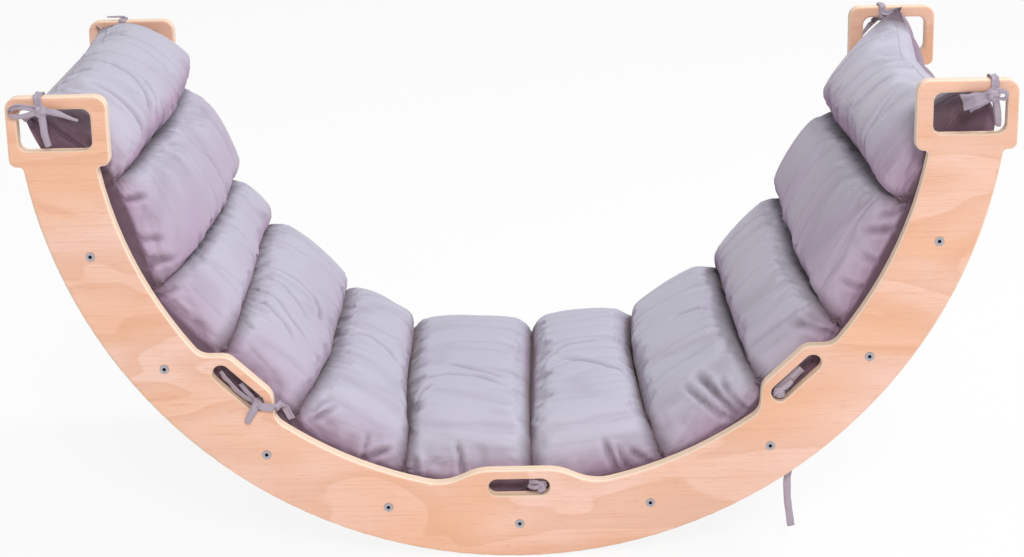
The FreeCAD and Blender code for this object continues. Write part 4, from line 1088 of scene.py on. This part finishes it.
def strap(bm, route, across, width, thickness, fold, seed, end_share=1.0):
    """Add a strap of folded cloth to a mesh along a smooth route; across lists its width's directions on the way."""
    points = spline_points(route)
    ways = [Vector(way).normalized() for way in across]
    layer = bm.loops.layers.uv.verify()
    rings = []
    travelled = 0.0
    for number, point in enumerate(points):
        before = points[max(number - 1, 0)]
        after = points[min(number + 1, len(points) - 1)]
        run = (after - before).normalized()
        travelled += (point - before).length
        place = number / (len(points) - 1) * (len(ways) - 1)
        first = min(int(place), len(ways) - 2)
        way = ways[first].lerp(ways[first + 1], place - first)
        way = (way - run * way.dot(run)).normalized()
        out = run.cross(way)
        ring = []
        broad = width * (1 + (end_share - 1) * (number / (len(points) - 1)) ** 1.5)
        for layer_side in (1, -1):
            for rib in range(STRAP_RIBS + 1):
                u = (rib / STRAP_RIBS * 2 - 1) * layer_side
                crumple = float(soft_noise(np.array(travelled * CRUMPLES), np.array(u * 1.3 + 7.0), seed))
                bend = fold * broad * (0.5 * math.cos(math.pi * u) + CRUMPLE_FOLD * crumple)
                narrow = 1 - CRUMPLE_NARROW * abs(crumple)
                spot = point + way * (u * broad / 2 * narrow) + out * (bend + layer_side * thickness / 2)
                ring.append(bm.verts.new(spot))
        rings.append((ring, travelled))
    count = len(rings[0][0])
    for (ring, start), (following, end) in zip(rings, rings[1:]):
        for corner in range(count):
            beside = (corner + 1) % count
            face = bm.faces.new((ring[corner], ring[beside], following[beside], following[corner]))
            for loop, uv in zip(face.loops, ((corner, start), (corner + 1, start), (corner + 1, end), (corner, end))):
                loop[layer].uv = (uv[0] * width / STRAP_RIBS, uv[1])
    bm.faces.new(rings[0][0][::-1])
    bm.faces.new(rings[-1][0])


def knot(bm, centre, turned, radii, seed):
    """Add a pulled-tight knot: a lumpy ball of cloth with wrapped folds, turned as its bar is."""
    made = bmesh.ops.create_icosphere(bm, subdivisions=4, radius=1.0)
    layer = bm.loops.layers.uv.verify()
    for vertex in made["verts"]:
        way = vertex.co.normalized()
        turn = math.atan2(way.z, way.x)
        wraps = float(crease_noise(np.array(turn * 0.9 + way.y * 2.2), np.array(way.z * 1.6 + seed), seed))
        lumps = float(soft_noise(np.array(way.x * 2.1 + 5), np.array(way.z * 2.1 + way.y * 1.7), seed + 3))
        size = 1 - KNOT_WRAP * wraps + KNOT_LUMP * lumps
        vertex.co = centre + turned @ Vector([way[axis] * radii[axis] * size for axis in range(3)])
    for face in {face for vertex in made["verts"] for face in vertex.link_faces}:
        for loop in face.loops:
            loop[layer].uv = (loop.vert.co.x, loop.vert.co.z)


def tie_piece(name, bm, *nodes):
    """Turn a finished tie into a piece that stands for its CAD node."""
    bmesh.ops.recalc_face_normals(bm, faces=bm.faces)
    mesh = bpy.data.meshes.new(name)
    bm.to_mesh(mesh)
    bm.free()
    shade_smooth(mesh)
    piece = placed(name, mesh)
    cover(piece, tie_cotton())
    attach(piece, ROOT)
    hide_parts(*nodes)
    return piece


def tie_cotton():
    """The ties' cotton, made once."""
    look = bpy.context.scene.cloth_look
    known = bpy.data.materials.get("tie_cotton")
    return known or cotton("tie_cotton", look.deep, look.tie)


def bar_frame(origin, along, out, up):
    """A matrix that takes millimetres along a bar, out from the panel and up to metres."""
    turn = Matrix((along, out, up)).transposed() * 0.001
    return Matrix.Translation(origin) @ turn.to_4x4()


def wrap_route(high):
    """Once round a bar of the panel's thickness and this half height, from its outer face over the top and back."""
    side, corner, above, over = 10.7, 11.7, 2.6, 1.8
    return ((0.5, 14, -high + 1), (0.5, side, 0), (0, corner, high + above), (0, 0, high + over),
            (0, -corner, high + above), (0, -side, 0), (0, -corner, -high - above), (0, 0, -high - over),
            (1, corner, -high - above), (2, 15, -high - 1))


def make_tie(name, place, straps, ball, shape, wrap=None):
    """Build one tie from its straps and its knot; wrap is half the height of the bar that it goes round."""
    bm = bmesh.new()
    centre, radii = ball
    if wrap:
        route = [place @ Vector(point) for point in wrap_route(wrap)]
        ways = [place.to_3x3() @ Vector(ALONG)] * 2
        strap(bm, route, ways, shape.width, shape.thickness, fold=0.08, seed=len(name))
    for number, (points, across, width, fold, end_share) in enumerate(straps):
        route = [place @ Vector(point) for point in points]
        ways = [place.to_3x3() @ Vector(way) for way in across]
        strap(bm, route, ways, width * 0.001, shape.thickness, fold, seed=number * 5 + len(name), end_share=end_share)
    knot(bm, place @ Vector(centre), place.to_3x3(), radii, len(name))
    tie_piece(f"{name}_strap", bm, f"{name}_tie")


class FRAME_OT_finish_panels(bpy.types.Operator):
    """Give both panels their lacquered plywood"""
    bl_idname = "climbing_frame.finish_panels"
    bl_label = "Finish Panels"

    def execute(self, context):
        dress(("front_panel", "rear_panel"), plywood(context.scene.wood_look))
        return {"FINISHED"}


class FRAME_OT_finish_rungs(bpy.types.Operator):
    """Give the nine rungs their turned beech"""
    bl_idname = "climbing_frame.finish_rungs"
    bl_label = "Finish Rungs"

    def execute(self, context):
        dress(RUNGS, rung_wood(context.scene.wood_look))
        return {"FINISHED"}


class FRAME_OT_finish_screws(bpy.types.Operator):
    """Give the connector screws their plated steel"""
    bl_idname = "climbing_frame.finish_screws"
    bl_label = "Finish Screws"

    def execute(self, context):
        dress(("front_screws", "rear_screws"), zinc_steel(context.scene.wood_look))
        return {"FINISHED"}


class FRAME_OT_sew_cushion(bpy.types.Operator):
    """Sew the channel cushion, stuff it and crease its cloth"""
    bl_idname = "climbing_frame.sew_cushion"
    bl_label = "Sew Cushion"

    def execute(self, context):
        shape = context.scene.cushion_shape
        look = context.scene.cloth_look
        top, base = cushion_sheets(shape)
        # How far the smooth cloth faces up, for the painted light on top and the painted shade on the sides.
        facing = sheet_normals(finer_columns(finer(top, FINER_ROWS), shape.across))[..., 2]
        top = stuff(top, base, shape)
        top, creases = wrinkle(finer_columns(finer(top, FINER_ROWS), shape.across), shape)
        cushion = cushion_mesh(top, crease_base(finer_columns(base, shape.across)), facing, creases)
        shade_smooth(cushion.data)
        cover(cushion, cotton("cotton_with_painted_light_and_shade", look.lit, look.deep, look.under))
        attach(cushion, ROOT)
        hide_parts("cushion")
        thread = sewing_thread(look)
        lines = sewn_lines(top, shape.across * FINER_COLUMNS)
        stitches = stitch_lines("cushion_stitches", lines, shape, thread)
        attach(stitches, ROOT)
        return {"FINISHED"}


class FRAME_OT_tie_handles(bpy.types.Operator):
    """Tie the cushion's four corners to the handles"""
    bl_idname = "climbing_frame.tie_handles"
    bl_label = "Tie Handles"

    def execute(self, context):
        for name, (x, side, straps, ball) in HANDLE_TIES.items():
            place = bar_frame((x, side * PANEL_MIDDLE, HANDLE_BAR_Z), ALONG, (0, side, 0), UP)
            make_tie(name, place, straps, ball, context.scene.tie_shape, HANDLE_HALF_BAR)
        return {"FINISHED"}


class FRAME_OT_tie_slots(bpy.types.Operator):
    """Tie the cushion's front hem to the grip slots"""
    bl_idname = "climbing_frame.tie_slots"
    bl_label = "Tie Slots"

    def execute(self, context):
        for name, (angle, along, straps, ball) in SLOT_TIES.items():
            turn = math.radians(angle)
            run = Vector((math.cos(turn), 0, math.sin(turn)))
            x, z = on_circle(angle, SLOT_BAR)
            place = bar_frame(Vector((x, -PANEL_MIDDLE, z)) + run * along * 0.001, run, (0, -1, 0),
                              (-math.sin(turn), 0, math.cos(turn)))
            make_tie(name, place, straps, ball, context.scene.tie_shape)
        return {"FINISHED"}


class FRAME_OT_hang_tail(bpy.types.Operator):
    """Hang the long end of the right slot's tie behind the front panel"""
    bl_idname = "climbing_frame.hang_tail"
    bl_label = "Hang Tail"

    def execute(self, context):
        shape = context.scene.tie_shape
        bm = bmesh.new()
        strap(bm, TAIL_ROUTE, [ALONG, (1, 0.1, 0)], shape.width, shape.thickness, fold=0.12, seed=4)
        tail = tie_piece("right_slot_tail_strap", bm, "right_slot_tail")
        path = [tuple(point) for point in spline_points(TAIL_ROUTE)]
        return {"FINISHED"}


class FRAME_OT_set_stage(bpy.types.Operator):
    """Set the floor, the light and the camera"""
    bl_idname = "climbing_frame.set_stage"
    bl_label = "Set Stage"

    def execute(self, context):
        scene = context.scene
        look = scene.stage_look
        scene.view_settings.view_transform = "Standard"
        floor = mesh_piece("floor", [(x, y, FLOOR_Z) for x, y in FLOOR_CORNERS], [(0, 1, 2, 3)])
        cover(floor, floor_finish(look))
        scene.world = light_stage()
        scene.camera = photo_camera(look)
        return {"FINISHED"}


def seen_directly(tree):
    """1 where a ray comes from the camera, or by way of gloss or glass."""
    path = add(tree, "ShaderNodeLightPath").outputs
    first = add(tree, "ShaderNodeMath", {0: path["Is Camera Ray"], 1: path["Is Glossy Ray"]}, operation="MAXIMUM")
    both = add(tree, "ShaderNodeMath", {0: first.outputs[0], 1: path["Is Transmission Ray"]}, operation="MAXIMUM")
    return both.outputs[0]


def floor_finish(look):
    """White paper: it keeps the object's shadow and reads as white where nothing shades it."""
    material, tree, shader = new_material("white_paper")
    feed(tree, shader, {"Base Color": linear(look.floor), "Roughness": 0.9, "Specular IOR Level": 0.1})
    white = add(tree, "ShaderNodeEmission", {"Color": linear(WHITE), "Strength": 1.0})
    share = add(tree, "ShaderNodeMath", {0: seen_directly(tree), 1: look.whiteness}, operation="MULTIPLY")
    mixed = add(tree, "ShaderNodeMixShader", {0: share.outputs[0], 1: shader.outputs[0], 2: white.outputs[0]})
    feed(tree, tree.nodes["Material Output"], {"Surface": mixed.outputs[0]})
    return material


def light_stage():
    """Hang a broad lamp in front and one overhead towards the right; returns a bright even room."""
    world = bpy.data.worlds.new("studio")
    world.use_nodes = True
    tree = world.node_tree
    strength = add(tree, "ShaderNodeMapRange", {"Value": seen_directly(tree), "To Min": ROOM_LIGHT, "To Max": 1.0})
    feed(tree, tree.nodes["Background"], {"Color": linear(WHITE), "Strength": strength.outputs[0]})
    for name, place, target, size, power, tint in LAMPS:
        lamp = bpy.data.lights.new(name, "AREA")
        lamp.size = size
        lamp.energy = power
        lamp.color = linear(tint)[:3]
        aim = (Vector(target) - Vector(place)).to_track_quat("-Z", "Y")
        placed(name, lamp).matrix_world = Matrix.Translation(place) @ aim.to_matrix().to_4x4()
    return world


def photo_camera(look):
    """The camera at the photograph's place, which looks a little down and is turned slightly."""
    pitch, yaw, roll = (math.radians(angle) for angle in CAMERA_TURNS)
    forward = Vector((math.sin(yaw) * math.cos(pitch), math.cos(yaw) * math.cos(pitch), -math.sin(pitch)))
    right = Vector((math.cos(yaw), -math.sin(yaw), 0))
    up = right.cross(forward)
    turned_right = right * math.cos(roll) + up * math.sin(roll)
    turned_up = up * math.cos(roll) - right * math.sin(roll)
    data = bpy.data.cameras.new("camera")
    data.lens = look.lens
    data.sensor_width = CAMERA_SENSOR
    camera = placed("camera", data)
    turn = Matrix((turned_right, turned_up, -forward)).transposed()
    camera.matrix_world = Matrix.Translation(CAMERA_PLACE) @ turn.to_4x4()
    return camera


class FRAME_PT_looks(bpy.types.Panel):
    bl_idname = "FRAME_PT_looks"
    bl_label = "Climbing Frame"
    bl_space_type = "VIEW_3D"
    bl_region_type = "UI"
    bl_category = "Climbing Frame"

    def draw(self, context):
        for name, kind in LOOKS.items():
            for field in kind.__annotations__:
                self.layout.prop(getattr(context.scene, name), field)
        for operator in STEPS:
            self.layout.operator(operator.bl_idname)


STEPS = (
    FRAME_OT_hang_tail,
    FRAME_OT_finish_panels,
    FRAME_OT_finish_rungs,
    FRAME_OT_finish_screws,
    FRAME_OT_sew_cushion,
    FRAME_OT_tie_handles,
    FRAME_OT_tie_slots,
    FRAME_OT_set_stage,
)
LOOKS = {"wood_look": WoodLook, "cloth_look": ClothLook, "cushion_shape": CushionShape, "tie_shape": TieShape,
         "stage_look": StageLook}


def register():
    for kind in (*LOOKS.values(), *STEPS, FRAME_PT_looks):
        bpy.utils.register_class(kind)
    for name, kind in LOOKS.items():
        setattr(bpy.types.Scene, name, PointerProperty(type=kind))


def unregister():
    for name in LOOKS:
        delattr(bpy.types.Scene, name)
    for kind in (FRAME_PT_looks, *reversed(STEPS), *LOOKS.values()):
        bpy.utils.unregister_class(kind)


def main():
    register()
    for step in (
        bpy.ops.climbing_frame.hang_tail,
        bpy.ops.climbing_frame.finish_panels,
        bpy.ops.climbing_frame.finish_rungs,
        bpy.ops.climbing_frame.finish_screws,
        bpy.ops.climbing_frame.sew_cushion,
        bpy.ops.climbing_frame.tie_handles,
        bpy.ops.climbing_frame.tie_slots,
        bpy.ops.climbing_frame.set_stage,
    ):
        step()


if __name__ == "__main__":
    main()
